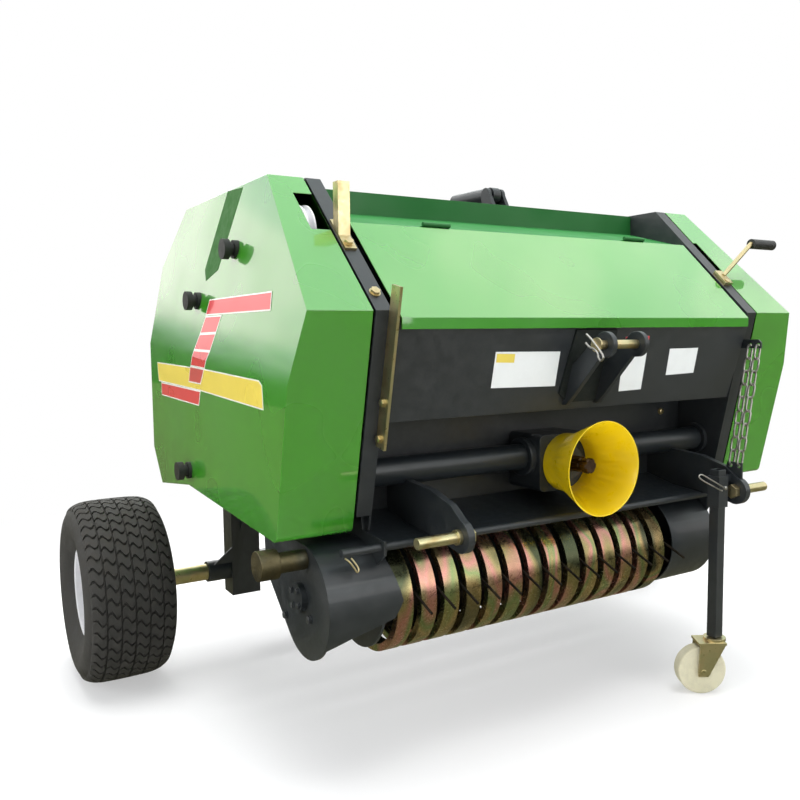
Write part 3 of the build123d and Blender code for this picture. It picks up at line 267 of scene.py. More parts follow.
# %% Paint recipe
def paint(name, color, rough=0.3, coat=0.0, cloud=0.10, dust=0.06, peel=0.05, wear=0.0,
          wear_color=(0.25, 0.25, 0.25), dust_color=(0.33, 0.30, 0.25), coat_ior=1.5, grain=42.0,
          grit_detail=6.0):
    """Paint: colour times (1 +- cloud), dust where the grit is high, a fine bump, worn convex edges."""
    material, tree, shader, add = node_tree(name)
    place = add("TexCoord").outputs["Object"]
    broad = add("TexNoise", {"Vector": place, "Scale": 5.0, "Detail": 4.0, "Roughness": 0.6})
    fine = add("TexNoise", {"Vector": place, "Scale": 160.0, "Detail": 3.0})
    grit = add("TexNoise", {"Vector": place, "Scale": grain, "Detail": grit_detail, "Roughness": 0.7})
    shade = add("MapRange", {"Value": broad.outputs["Fac"], "From Min": 0.3, "From Max": 0.7,
                             "To Min": 1.0 - cloud, "To Max": 1.0 + cloud})
    tone = add("HueSaturation", {"Value": shade.outputs["Result"], "Color": (*color, 1.0)})
    dusty = add("MapRange", {"Value": grit.outputs["Fac"], "From Min": 0.45, "From Max": 0.8,
                             "To Min": 0.0, "To Max": dust})
    mixed = add("Mix", {"Factor": dusty.outputs["Result"], "A": tone.outputs["Color"],
                        "B": (*dust_color, 1.0)}, data_type="RGBA")
    color_out = mixed.outputs["Result"]
    if wear:
        edge = add("NewGeometry").outputs["Pointiness"]
        worn = add("MapRange", {"Value": edge, "From Min": 0.52, "From Max": 0.60,
                                "To Min": 0.0, "To Max": 1.0})
        broken = add("Math", {0: worn.outputs["Result"], 1: grit.outputs["Fac"]}, operation="MULTIPLY")
        share = add("Math", {0: broken.outputs[0], 1: wear}, operation="MULTIPLY", use_clamp=True)
        rubbed = add("Mix", {"Factor": share.outputs[0], "A": color_out,
                             "B": (*wear_color, 1.0)}, data_type="RGBA")
        color_out = rubbed.outputs["Result"]
    tree.links.new(color_out, shader.inputs["Base Color"])
    gloss = add("MapRange", {"Value": grit.outputs["Fac"], "From Min": 0.3, "From Max": 0.75,
                             "To Min": rough * 0.8, "To Max": min(1.0, rough * 1.35)})
    tree.links.new(gloss.outputs["Result"], shader.inputs["Roughness"])
    bump = add("Bump", {"Height": fine.outputs["Fac"], "Strength": peel, "Distance": 0.0006})
    tree.links.new(bump.outputs["Normal"], shader.inputs["Normal"])
    shader.inputs["Coat Weight"].default_value = coat
    shader.inputs["Coat Roughness"].default_value = 0.04
    shader.inputs["Coat IOR"].default_value = coat_ior
    return material


GREEN = (0.036, 0.240, 0.010)
# The deck's darker green below is the covers' green with painted shade: the same paint darkened where the
# deck lies in shade.
SHADED_GREEN = (0.007, 0.115, 0.018)
FRAME_DARK = (0.012, 0.016, 0.019)
green_paint = paint("green_paint", GREEN, rough=0.30, coat=1.0, cloud=0.03, dust=0.004, peel=0.012,
                    coat_ior=2.0, grain=6.0, grit_detail=0.5)
shaded_green = paint("deep_green_paint", SHADED_GREEN, rough=0.60, cloud=0.06, dust=0.01, grain=8.0,
                    grit_detail=0.5)
frame_paint = paint("frame_paint", FRAME_DARK, rough=0.42, coat=0.15, cloud=0.12, dust=0.025, peel=0.08,
                    wear=0.35, wear_color=(0.10, 0.10, 0.10))
white_paint = paint("white_paint", (0.72, 0.72, 0.74), rough=0.35, coat=0.3, cloud=0.05, dust=0.15)
print("paints made")

# %% [markdown]
# ## Plated steel, rubber and plastic
# The bands, pins and angle bars are zinc plated and yellow passivated, which gives the thin
# rainbow film of pink, green and olive that slides along each piece. A slow noise that picks
# a colour from a ramp stands for the film's thickness. On the bands the ramp is partly painted
# reflection: its near-black ends and darkened tones stand for dark surroundings and shade seen
# in the zinc. Bare steel is brushed along one way, rubber is matte with fine grain, and moulded
# plastic is smooth with a slight haze.


# %% Metals
def plated(name, colors, scale=7.0, rough=0.3, stretch=(1.0, 1.0, 1.0), detail=3.0, scratches=0.12):
    """Passivated zinc: a colour ramp read by a slow, stretched noise, with fine scratches in the gloss."""
    material, tree, shader, add = node_tree(name)
    place = add("TexCoord").outputs["Object"]
    spread = add("Mapping", {"Vector": place, "Scale": stretch})
    tint = add("TexNoise", {"Vector": spread.outputs["Vector"], "Scale": scale, "Detail": detail,
                            "Roughness": 0.5, "Distortion": 0.5})
    ramp = add("ValToRGB", {"Fac": tint.outputs["Fac"]})
    stops = ramp.color_ramp.elements
    while len(stops) < len(colors):
        stops.new(0.5)
    for i, color in enumerate(colors):
        stops[i].position = 0.30 + 0.40 * i / (len(colors) - 1)
        stops[i].color = (*color, 1.0)
    scratch = add("TexNoise", {"Vector": place, "Scale": 90.0, "Detail": 8.0, "Roughness": 0.75})
    tree.links.new(ramp.outputs["Color"], shader.inputs["Base Color"])
    gloss = add("MapRange", {"Value": scratch.outputs["Fac"], "From Min": 0.3, "From Max": 0.7,
                             "To Min": rough * 0.7, "To Max": rough * 1.5})
    tree.links.new(gloss.outputs["Result"], shader.inputs["Roughness"])
    bump = add("Bump", {"Height": scratch.outputs["Fac"], "Strength": scratches, "Distance": 0.0005})
    tree.links.new(bump.outputs["Normal"], shader.inputs["Normal"])
    shader.inputs["Metallic"].default_value = 0.95
    return material


# Band ramp: the film's real pink, green and olive, plus painted reflection; the near-black first and last
# stops and the darkened tones stand for dark surroundings and shade.
RAINBOW_AND_REFLECTION = [
    (0.08, 0.09, 0.05), (0.34, 0.28, 0.13), (0.56, 0.26, 0.22), (0.24, 0.30, 0.13), (0.44, 0.32, 0.15),
    (0.10, 0.10, 0.06),
]
YELLOW_PASSIVE = [(0.50, 0.40, 0.20), (0.66, 0.55, 0.32), (0.56, 0.52, 0.30), (0.45, 0.33, 0.15)]
BARE_STEEL = [(0.36, 0.35, 0.33), (0.50, 0.49, 0.46), (0.26, 0.25, 0.23)]
BLACK_STEEL = [(0.015, 0.014, 0.012), (0.035, 0.030, 0.025), (0.06, 0.045, 0.03)]
DULL_ZINC = [(0.05, 0.045, 0.03), (0.13, 0.11, 0.06), (0.09, 0.085, 0.06)]
OILY_BROWN = [(0.035, 0.024, 0.018), (0.085, 0.055, 0.040), (0.13, 0.10, 0.08)]
# The bands' darkened ramp paints in reflection and shade as well as the film's colours.
band_zinc = plated("band_zinc", RAINBOW_AND_REFLECTION, scale=1.0, rough=0.26, stretch=(14.0, 6.0, 6.0), detail=0.6,
                   scratches=0.03)
yellow_zinc = plated("yellow_zinc", YELLOW_PASSIVE, scale=14.0, rough=0.32)
bright_steel = plated("bright_steel", BARE_STEEL, scale=20.0, rough=0.30, stretch=(1.0, 6.0, 6.0))
tine_steel = plated("tine_steel", BLACK_STEEL, scale=30.0, rough=0.6)
worn_zinc = plated("worn_zinc", DULL_ZINC, scale=16.0, rough=0.5)
oily_steel = plated("oily_steel", OILY_BROWN, scale=38.0, rough=0.42)
print("metals made")

# %% Rubber, plastic and film
tyre_rubber = paint("tyre_rubber", (0.022, 0.021, 0.019), rough=0.78, cloud=0.22, dust=0.28, peel=0.4,
                    dust_color=(0.10, 0.09, 0.07))
black_rubber = paint("black_rubber", (0.012, 0.013, 0.013), rough=0.48, cloud=0.10, dust=0.05, peel=0.2)
yellow_plastic = paint("yellow_plastic", (0.80, 0.56, 0.002), rough=0.30, coat=0.25, cloud=0.05, dust=0.05,
                       peel=0.06)
nylon = paint("cream_nylon", (0.70, 0.66, 0.47), rough=0.50, cloud=0.08, dust=0.30, peel=0.1,
              dust_color=(0.25, 0.22, 0.17))
label_white = paint("label_white", (0.72, 0.74, 0.72), rough=0.40, cloud=0.03, dust=0.06, peel=0.02)
strip_green = paint("strip_green", (0.030, 0.120, 0.022), rough=0.75, cloud=0.04, dust=0.01, peel=0.02)
shadow_paint = paint("shadow_paint", (0.004, 0.008, 0.007), rough=0.85, cloud=0.1, dust=0.01)
stripe_red = paint("stripe_red", (0.62, 0.045, 0.050), rough=0.30, coat=0.45, cloud=0.05, dust=0.01,
                   grain=8.0, grit_detail=0.5)
stripe_yellow = paint("stripe_yellow", (0.74, 0.58, 0.08), rough=0.30, coat=0.45, cloud=0.05, dust=0.01,
                      grain=8.0, grit_detail=0.5)
stripe_white = paint("stripe_white", (0.80, 0.79, 0.72), rough=0.32, coat=0.6, cloud=0.03, dust=0.01,
                     grain=8.0, grit_detail=0.5)
foot_red = paint("foot_red", (0.50, 0.070, 0.060), rough=0.40, coat=0.2, cloud=0.05, dust=0.01,
                 grain=8.0, grit_detail=0.5)
print("materials", len(bpy.data.materials))

# %% [markdown]
# ## Dressing the solids
# A solid's mesh comes as loose triangles with razor edges. Real folded sheet and flame-cut
# plate catch a thin line of light on every edge, and that line is most of what makes steel
# look like steel. So each node is copied, its triangles are merged, flat faces are joined,
# and a narrow bevel is laid along the sharp edges. The copy rides on the node's own body
# and stands for it.


# %% Dress helper
def dress(node, material, bevel=0.0012, segments=2, sharp=32.0):
    """Merged copy of a CAD node with flat faces joined and its sharp edges rounded by a bevel."""
    mesh = nodes[node].data.copy()
    mesh.name = "dressed_" + node
    shape = bmesh.new()
    shape.from_mesh(mesh)
    bmesh.ops.remove_doubles(shape, verts=shape.verts, dist=2e-5)
    bmesh.ops.dissolve_limit(shape, angle_limit=radians(0.6), verts=shape.verts, edges=shape.edges)
    for face in shape.faces:
        face.smooth = True
    for edge in shape.edges:
        if len(edge.link_faces) == 2:
            edge.smooth = edge.calc_face_angle(0.0) < radians(sharp)
    shape.to_mesh(mesh)
    shape.free()
    mesh.materials.clear()
    mesh.materials.append(material)
    for attribute in list(mesh.attributes):
        if attribute.name.startswith("custom_normal"):
            mesh.attributes.remove(attribute)
    piece = bpy.data.objects.new("dressed_" + node, mesh)
    bpy.context.scene.collection.objects.link(piece)
    if bevel:
        rounding = piece.modifiers.new("edge_rounding", "BEVEL")
        rounding.width = bevel
        rounding.segments = segments
        rounding.limit_method = "ANGLE"
        rounding.angle_limit = radians(sharp)
        rounding.harden_normals = True
        rounding.use_clamp_overlap = True
        rounding.miter_outer = "MITER_ARC"
    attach(piece, nodes[node]["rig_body"])
    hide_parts(node)
    return piece


# %% Dress the frame and the moving bodies
DRESS = [
    # node, material, bevel
    ("side_plate_left", frame_paint, 0.0012),
    ("side_plate_right", frame_paint, 0.0012),
    ("cover_left", green_paint, 0.0015),
    ("cover_right", green_paint, 0.0015),
    ("cover_knobs", black_rubber, 0.0020),
    ("twine_box", frame_paint, 0.0010),
    # The deck takes the darker copy of the green paint: painted shade.
    ("top_deck", shaded_green, 0.0010),
    ("box_lid", green_paint, 0.0010),
    ("cross_beams", frame_paint, 0.0015),
    ("chamber_rollers", frame_paint, 0.0010),
    ("gate_rollers", frame_paint, 0.0010),
    ("gate_sides", frame_paint, 0.0012),
    ("gate_beams", frame_paint, 0.0020),
    ("gate_hinge_pins", bright_steel, 0.0010),
    ("cylinder_barrel", frame_paint, 0.0012),
    ("cylinder_rod", bright_steel, 0.0008),
    ("gearbox", frame_paint, 0.0030),
    ("pto_cone", yellow_plastic, 0.0010),
    ("hitch_plate_left", frame_paint, 0.0015),
    ("hitch_plate_right", frame_paint, 0.0015),
    ("hitch_pins", yellow_zinc, 0.0012),
    ("mast", frame_paint, 0.0012),
    ("pickup_beams", frame_paint, 0.0012),
    ("pickup_supports", frame_paint, 0.0012),
    ("pickup_drive_guard", frame_paint, 0.0010),
    ("pickup_end_guard", frame_paint, 0.0008),
    ("pickup_drive_shaft", worn_zinc, 0.0015),
    ("corner_fittings", yellow_zinc, 0.0008),
    ("stay_chain", bright_steel, 0.0014),
    ("strippers", band_zinc, 0.0006),
    ("pickup_reel", tine_steel, 0.0),
    ("rim_left", white_paint, 0.0012),
    ("rim_right", white_paint, 0.0012),
    ("axle_beam", frame_paint, 0.0030),
    ("axle_brackets", frame_paint, 0.0012),
    ("stub_axles", yellow_zinc, 0.0012),
    ("stand_sleeve", frame_paint, 0.0010),
    ("stand_leg", frame_paint, 0.0020),
    ("castor_fork", yellow_zinc, 0.0012),
    ("castor_wheel", nylon, 0.0040),
]
for node, material, bevel in DRESS:
    dress(node, material, bevel)
print("dressed", len(DRESS))

# %% [markdown]
# ## Turf tyres
# A turf tyre is wide and squat, with six columns of low blocks whose edges run in waves, so
# it grips grass without tearing it. The carcass is a profile carried round the axle. One
# block is a small grid laid on that carcass and lifted by the tread's depth, its long edges
# bent by a sine; the whole tread is that block copied as an array round the wheel and
# shifted by half a pitch from column to column.

# %% Carcass
TYRE_R, TYRE_HALF, RIM_R = 0.229, 0.108, 0.104
WHEEL_X, WHEEL_Y = 0.853, 0.3625
TREAD_DEPTH = 0.0055
TREAD_COLUMNS = 6
TREAD_ROWS = 46
TREAD_HALF = 0.098


def ring(profile, steps, place, close=True):
    """Surface of a closed profile (x, radius) turned about X: point = place + (x, r cos a, r sin a)."""
    profile = np.asarray(profile, float)
    angles = np.linspace(0.0, tau, steps, endpoint=False)
    x = np.repeat(profile[:, 0], steps)
    radius = np.repeat(profile[:, 1], steps)
    angle = np.tile(angles, len(profile))
    points = np.stack([x, radius * np.cos(angle), radius * np.sin(angle)], 1) + np.asarray(place)
    rows = len(profile) if close else len(profile) - 1
    i, j = np.meshgrid(np.arange(rows), np.arange(steps), indexing="ij")
    i, j = i.ravel(), j.ravel()
    i2, j2 = (i + 1) % len(profile), (j + 1) % steps
    faces = np.stack([i * steps + j, i2 * steps + j, i2 * steps + j2, i * steps + j2], 1)
    return points, faces


def crown(x):
    """Radius of the tread's base at x: nearly flat, falling away by a sixth power at the shoulders."""
    return TYRE_R - TREAD_DEPTH - 0.026 * np.abs(x / TYRE_HALF) ** 6 - 0.003 * (x / TYRE_HALF) ** 2


def carcass():
    """Profile (x, radius) of the tyre: tread, shoulder, bulging side wall, bead, and the closed inside."""
    tread = np.linspace(-TREAD_HALF, TREAD_HALF, 25)
    top = np.stack([tread, crown(tread)], 1)
    t = np.linspace(0.0, 1.0, 12)[1:]
    start, bulge, end = (TREAD_HALF, crown(TREAD_HALF)), (TYRE_HALF + 0.016, 0.176), (0.080, RIM_R + 0.006)
    side = [tuple((1 - u) ** 2 * a + 2 * u * (1 - u) * b + u * u * c for a, b, c in zip(start, bulge, end))
            for u in t]
    right = np.array(side + [(0.0795, RIM_R), (0.070, RIM_R), (0.066, RIM_R + 0.02)])
    left = right[::-1] * np.array([-1.0, 1.0])
    return np.concatenate([left, top, right])


print("carcass profile", len(carcass()), "points")


# %% Tread
BLOCK_HALF = 0.40
BLOCK_WAVE = 0.26
BASE_WIDTH, TOP_WIDTH = 0.97, 0.86
BASE_LENGTH, TOP_LENGTH = 1.10, 0.92
BASE_SINK = 0.0010


def blocks(columns, rows):
    """Tread blocks: column c, row n sits at angle (n + c / 2) pitches; its edges wave by a sine of x."""
    pitch = tau / rows
    width = 2 * TREAD_HALF / columns
    u = np.linspace(-0.5, 0.5, 7)
    v = np.array([-BLOCK_HALF, BLOCK_HALF])
    all_points, all_faces = [], []
    u_grid, v_grid = np.meshgrid(u, v, indexing="ij")
    count = u_grid.size
    top_x = u_grid.ravel() * width * TOP_WIDTH
    base_x = u_grid.ravel() * width * BASE_WIDTH
    wave = BLOCK_WAVE * np.sin(u_grid.ravel() * tau)
    columns_at, rows_at = np.meshgrid(np.arange(columns), np.arange(rows), indexing="ij")
    centre = (-TREAD_HALF + width * (columns_at.ravel() + 0.5))[:, None]
    turn = ((rows_at.ravel() + 0.5 * (columns_at.ravel() % 2)) * pitch)[:, None]
    for x_local, spread, lift in ((base_x, BASE_LENGTH, -BASE_SINK), (top_x, TOP_LENGTH, TREAD_DEPTH)):
        x = centre + x_local[None, :]
        angle = turn + (wave + v_grid.ravel() * spread)[None, :] * pitch
        radius = crown(x) + lift
        all_points.append(np.stack([x, radius * np.cos(angle), radius * np.sin(angle)], 2))
    points = np.concatenate(all_points, 1)
    n = len(u)
    top = [(count + 2 * i, count + 2 * i + 2, count + 2 * i + 3, count + 2 * i + 1) for i in range(n - 1)]
    near = [(2 * i, 2 * i + 2, count + 2 * i + 2, count + 2 * i) for i in range(n - 1)]
    far = [(2 * i + 1, count + 2 * i + 1, count + 2 * i + 3, 2 * i + 3) for i in range(n - 1)]
    ends = [(0, count, count + 1, 1), (2 * n - 2, 2 * n - 1, count + 2 * n - 1, count + 2 * n - 2)]
    under = [(2 * i, 2 * i + 1, 2 * i + 3, 2 * i + 2) for i in range(n - 1)]
    one = np.array(top + near + far + ends + under)
    faces = one[None, :, :] + (np.arange(len(points)) * 2 * count)[:, None, None]
    return points.reshape(-1, 3), faces.reshape(-1, 4)


print("blocks", TREAD_COLUMNS * TREAD_ROWS)


# %% Tyres
def turf_tyre(side):
    """One tyre for side -1 (left) or 1 (right)."""
    place = np.array([side * WHEEL_X, WHEEL_Y, TYRE_R])
    points, faces = ring(carcass(), 96, place)
    block_points, block_faces = blocks(TREAD_COLUMNS, TREAD_ROWS)
    all_points = np.concatenate([points, block_points + place])
    all_faces = np.concatenate([faces, block_faces + len(points)])
    name = "turf_tyre_" + ("left" if side < 0 else "right")
    piece = mesh_object(name, all_points, all_faces, tyre_rubber)
    shade_by_angle(piece)
    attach(piece, "wheel_left" if side < 0 else "wheel_right")
    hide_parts("tyre_left" if side < 0 else "tyre_right")
    return piece


for side in (-1, 1):
    tyre = turf_tyre(side)
    print(tyre.name, len(tyre.data.polygons), "faces")

# %% [markdown]
# ## Painted stripes
# Each cover carries a yellow band with a red bar below its rear end, and a red bar that runs
# back and folds down to meet it, all edged in white. They are film laid on the steel, so each
# is its own sheet a few tenths of a millimetre proud, cut to a table of corners (y, z) and
# dropped onto the cover's face. A flat darker green strip, high on the leaning face, is laid
# the same way with no white edge.

# %% Film
COVER_X, LEAN, FOLD_Z, FOLD_SLOPE = 0.712, 0.20, 0.782, 0.0757
ORIGIN_Y = 0.4885  # a drawing's y less this is the frame's y


def cover_face_x(y, z):
    """Distance of the cover's outer face from the middle: upright below the fold, leaning in above it."""
    rise = z - FOLD_Z - FOLD_SLOPE * (y + ORIGIN_Y)
    return COVER_X - LEAN * np.maximum(0.0, rise)


def film(name, side, corners, material, lift, thickness=0.0003):
    """Flat film with corners (y, z) on a cover's face, lifted off it and given a wall."""
    shape = bmesh.new()
    verts = [shape.verts.new((0.0, y, z)) for y, z in corners]
    shape.faces.new(verts)
    bmesh.ops.bisect_plane(shape, geom=shape.verts[:] + shape.edges[:] + shape.faces[:],
                           plane_co=(0, -ORIGIN_Y, FOLD_Z), plane_no=(0, -FOLD_SLOPE, 1))
    bmesh.ops.recalc_face_normals(shape, faces=shape.faces)
    for vert in shape.verts:
        vert.co.x = side * (float(cover_face_x(vert.co.y, vert.co.z)) + lift)
    shape.faces.ensure_lookup_table()
    if shape.faces[0].normal.x * side < 0:
        bmesh.ops.reverse_faces(shape, faces=shape.faces)
    mesh = bpy.data.meshes.new(name)
    shape.to_mesh(mesh)
    shape.free()
    mesh.materials.append(material)
    piece = bpy.data.objects.new(name, mesh)
    bpy.context.scene.collection.objects.link(piece)
    wall = piece.modifiers.new("film", "SOLIDIFY")
    wall.thickness = thickness
    wall.offset = 1.0
    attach(piece, "frame")
    return piece


def shrink(corners, border):
    """Corners moved inwards by the border, along the two neighbouring edges' normals."""
    p = np.array(corners)
    area = 0.5 * np.sum(p[:, 0] * np.roll(p[:, 1], -1) - np.roll(p[:, 0], -1) * p[:, 1])
    run = np.roll(p, -1, 0) - p
    run /= np.linalg.norm(run, axis=1)[:, None]
    normal = np.stack([-run[:, 1], run[:, 0]], 1) * np.sign(area)
    before = np.roll(normal, 1, 0)
    bisector = normal + before
    bisector /= np.sum(bisector * normal, 1)[:, None]
    return [tuple(q) for q in p + bisector * border]


print("film leans in above z", FOLD_Z)

# %% Stripes
YELLOW_BAND = [
    (0.4149, 0.8056), (0.0081, 0.8001), (-0.3240, 0.7893), (-0.3401, 0.7800), (-0.3446, 0.7333),
    (0.0427, 0.7485), (0.4062, 0.7550),
]
RED_FOOT = [(0.3811, 0.7535), (0.0427, 0.7485), (0.0584, 0.7129), (0.3806, 0.7190)]
UPPER_BAR = [(0.0387, 0.9570), (-0.3212, 0.9586), (-0.3291, 0.9210), (0.0483, 0.9208)]
SLANT_BARS = [
    [(0.0483, 0.9190), (-0.0573, 0.9190), (-0.0398, 0.8804), (0.0694, 0.8787)],
    [(0.0694, 0.8787), (-0.0398, 0.8804), (-0.0203, 0.8397), (0.0940, 0.8416)],
    [(0.0940, 0.8416), (-0.0203, 0.8397), (0.0081, 0.8001), (0.1138, 0.8037)],
    [(0.1138, 0.8037), (0.0081, 0.8001), (0.0382, 0.7637), (0.1316, 0.7651)],
]
STRIPES = [
    # name, corners, material, level above the films beneath
    ("yellow_band", YELLOW_BAND, stripe_yellow, 0),
    ("red_foot", RED_FOOT, stripe_red, 0),
    ("upper_bar", UPPER_BAR, stripe_red, 1),
    ("slant_bar_1", SLANT_BARS[0], stripe_red, 0),
    ("slant_bar_2", SLANT_BARS[1], stripe_red, 0),
    ("slant_bar_3", SLANT_BARS[2], stripe_red, 0),
    ("slant_foot", SLANT_BARS[3], foot_red, 2),
]
FILM_LIFT, FILM_LEVEL, WHITE_EDGE = 0.0002, 0.0004, 0.0028
# Corners of the flat darker green film high on the leaning face.
DARK_STRIP = [(0.0380, 1.2035), (-0.0588, 1.1975), (0.0168, 1.0225), (0.0897, 1.0021), (0.1107, 1.0292)]
for side, where in ((-1, "left"), (1, "right")):
    for name, corners, material, level in STRIPES:
        lift = FILM_LIFT + FILM_LEVEL * level
        film(f"{name}_edge_{where}", side, corners, stripe_white, lift)
        film(f"{name}_{where}", side, shrink(corners, WHITE_EDGE), material, lift + FILM_LIFT)
    film(f"dark_strip_{where}", side, DARK_STRIP, strip_green, FILM_LIFT)
print("films", 2 * (2 * len(STRIPES) + 1))

# %% [markdown]
# ## Splined shaft
# The input shaft ends in six broad splines that carry the drive shaft's yoke. Its section is a
# circle whose radius steps in and out six times; that section is carried along the axis, and
# the radius shrinks at the tip's chamfer and in the groove where the yoke's catch sits.

# %% Input shaft
SHAFT_Z, SHAFT_TIP, SHAFT_SHOULDER, SHAFT_END = 0.578, 0.012, 0.072, 0.124
SPLINE_R, SPLINE_DEPTH, JOURNAL_R = 0.01745, 0.0032, 0.0200
GROOVE_BOTTOM_R = SPLINE_R - 0.0028
SPLINES = 6


def splined_shaft():
    """Rings of points (r(a) cos a, y, r(a) sin a), r smaller between the splines; a fan closes each end."""
    steps = 96
    angle = np.linspace(0.0, tau, steps, endpoint=False)
    tooth = np.clip(3.0 * np.cos(SPLINES * angle) + 1.2, 0.0, 1.0)
    stations = [  # y, radius, spline depth, all in metres
        (SHAFT_TIP, SPLINE_R - 0.0030, 0.0008),
        (SHAFT_TIP + 0.0025, SPLINE_R, SPLINE_DEPTH),
        (SHAFT_TIP + 0.016, SPLINE_R, SPLINE_DEPTH),
        (SHAFT_TIP + 0.018, GROOVE_BOTTOM_R, 0.0006),
        (SHAFT_TIP + 0.024, GROOVE_BOTTOM_R, 0.0006),
        (SHAFT_TIP + 0.026, SPLINE_R, SPLINE_DEPTH),
        (SHAFT_SHOULDER, SPLINE_R, SPLINE_DEPTH),
        (SHAFT_SHOULDER, JOURNAL_R, 0.0),
        (SHAFT_END, JOURNAL_R, 0.0),
    ]
    rings = []
    for y, radius, depth in stations:
        r = radius - depth * (1.0 - tooth)
        across, up = r * np.cos(angle), SHAFT_Z + r * np.sin(angle)
        rings.append(np.stack([across, np.full(steps, y - ORIGIN_Y), up], 1))
    centres = [[0, SHAFT_TIP - ORIGIN_Y, SHAFT_Z], [0, SHAFT_END - ORIGIN_Y, SHAFT_Z]]
    points = np.concatenate([*rings, centres])
    k, j = np.meshgrid(np.arange(len(stations) - 1), np.arange(steps), indexing="ij")
    k, j = k.ravel(), j.ravel()
    j2 = (j + 1) % steps
    sides = np.stack([k * steps + j, k * steps + j2, (k + 1) * steps + j2, (k + 1) * steps + j], 1)
    tip, end = len(points) - 2, len(points) - 1
    last = (len(stations) - 1) * steps
    fans = [(tip, (i + 1) % steps, i) for i in range(steps)]
    fans += [(end, last + i, last + (i + 1) % steps) for i in range(steps)]
    return points, list(map(tuple, sides)) + fans


points, faces = splined_shaft()
shaft = mesh_object("splined_shaft", points, faces, oily_steel)
shade_by_angle(shaft)
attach(shaft, "input_shaft")
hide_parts("pto_shaft")
print("shaft", len(faces), "faces")

# %% [markdown]
# ## Bolts, clips and pins
# Small fasteners give a machine its scale. A bolt here is a washer, a six-sided head with its
# corners turned off, and nothing below the surface, because that is all there is to see. The
# spring clips are one wire carried along a path, the same way a jig bends the real ones.


# %% Turned and bent pieces
def frame_of(axis):
    """The axis at unit length and two directions square to it."""
    axis = np.asarray(axis, float) / np.linalg.norm(axis)
    helper = np.array([0.0, 0.0, 1.0]) if abs(axis[2]) < 0.9 else np.array([1.0, 0.0, 0.0])
    u = np.cross(helper, axis)
    u /= np.linalg.norm(u)
    return axis, u, np.cross(axis, u)


def swept_faces(rings, sides):
    """Faces of a skin over rings of points: quads between neighbours and a flat end at both."""
    faces = []
    for k in range(rings - 1):
        for j in range(sides):
            j2 = (j + 1) % sides
            faces.append((k * sides + j, k * sides + j2, (k + 1) * sides + j2, (k + 1) * sides + j))
    last = (rings - 1) * sides
    faces.append(tuple(reversed(range(sides))))
    faces.append(tuple(last + j for j in range(sides)))
    return faces


def turned(place, axis, profile, sides):
    """Solid of revolution: profile (height, radius) about an axis at a place, with closed ends."""
    axis, u, v = frame_of(axis)
    angle = np.linspace(0.0, tau, sides, endpoint=False)
    around = np.cos(angle)[:, None] * u + np.sin(angle)[:, None] * v
    rings = [np.asarray(place) + axis * h + around * r for h, r in profile]
    return np.concatenate(rings), swept_faces(len(rings), sides)


def gather(pieces):
    """Points and faces of several pieces as one list each."""
    points, faces, start = [], [], 0
    for piece_points, piece_faces in pieces:
        points.extend(map(tuple, piece_points))
        faces.extend(tuple(start + i for i in face) for face in piece_faces)
        start += len(piece_points)
    return points, faces


def tube(path, radius, sides=10):
    """Round wire carried along a path of points, its section kept from twisting, ends closed."""
    path = np.asarray(path, float)
    run = np.gradient(path, axis=0)
    run /= np.linalg.norm(run, axis=1)[:, None]
    u = frame_of(run[0])[1]
    angle = np.linspace(0.0, tau, sides, endpoint=False)
    rings = []
    for place, along in zip(path, run):
        u = u - along * np.dot(u, along)
        u /= np.linalg.norm(u)
        v = np.cross(along, u)
        rings.append(place + radius * (np.cos(angle)[:, None] * u + np.sin(angle)[:, None] * v))
    return np.concatenate(rings), swept_faces(len(rings), sides)


def smooth_path(corners, steps=8):
    """Points on a curve through the corners, each span a cubic whose slopes come from its neighbours."""
    p = np.asarray(corners, float)
    padded = np.concatenate([[2 * p[0] - p[1]], p, [2 * p[-1] - p[-2]]])
    result = []
    for a, b, c, d in zip(padded, padded[1:], padded[2:], padded[3:]):
        for t in np.linspace(0.0, 1.0, steps, endpoint=False):
            square = (2 * a - 5 * b + 4 * c - d) * t * t
            cube = (3 * b - a - 3 * c + d) * t ** 3
            result.append(0.5 * (2 * b + (c - a) * t + square + cube))
    result.append(p[-1])
    return np.array(result)


def fitting(name, pieces, material, body="frame"):
    """One object from several small pieces that ride on a body."""
    points, faces = gather(pieces)
    piece = mesh_object(name, points, faces, material)
    shade_by_angle(piece)
    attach(piece, body)
    return piece


print("helpers for turned and bent pieces ready")

# %% Bolts
WASHER_SINK, WASHER_TOP = -0.0002, 0.0018


def bolt(place, axis, size):
    """Washer and hex head; size is the thread in metres, the head is 1.7 sizes wide and 0.65 high."""
    rim = 1.15 * size
    ring_wall = [(WASHER_SINK, size), (WASHER_SINK, rim), (WASHER_TOP, rim), (WASHER_TOP, size)]
    corner = 1.7 * size / 2 / cos(pi / 6)
    shoulder, top = WASHER_TOP + 0.55 * size, WASHER_TOP + 0.65 * size
    head_wall = [(0.0016, corner), (shoulder, corner), (top, 0.82 * corner)]
    return gather([turned(place, axis, ring_wall, 20), turned(place, axis, head_wall, 6)])


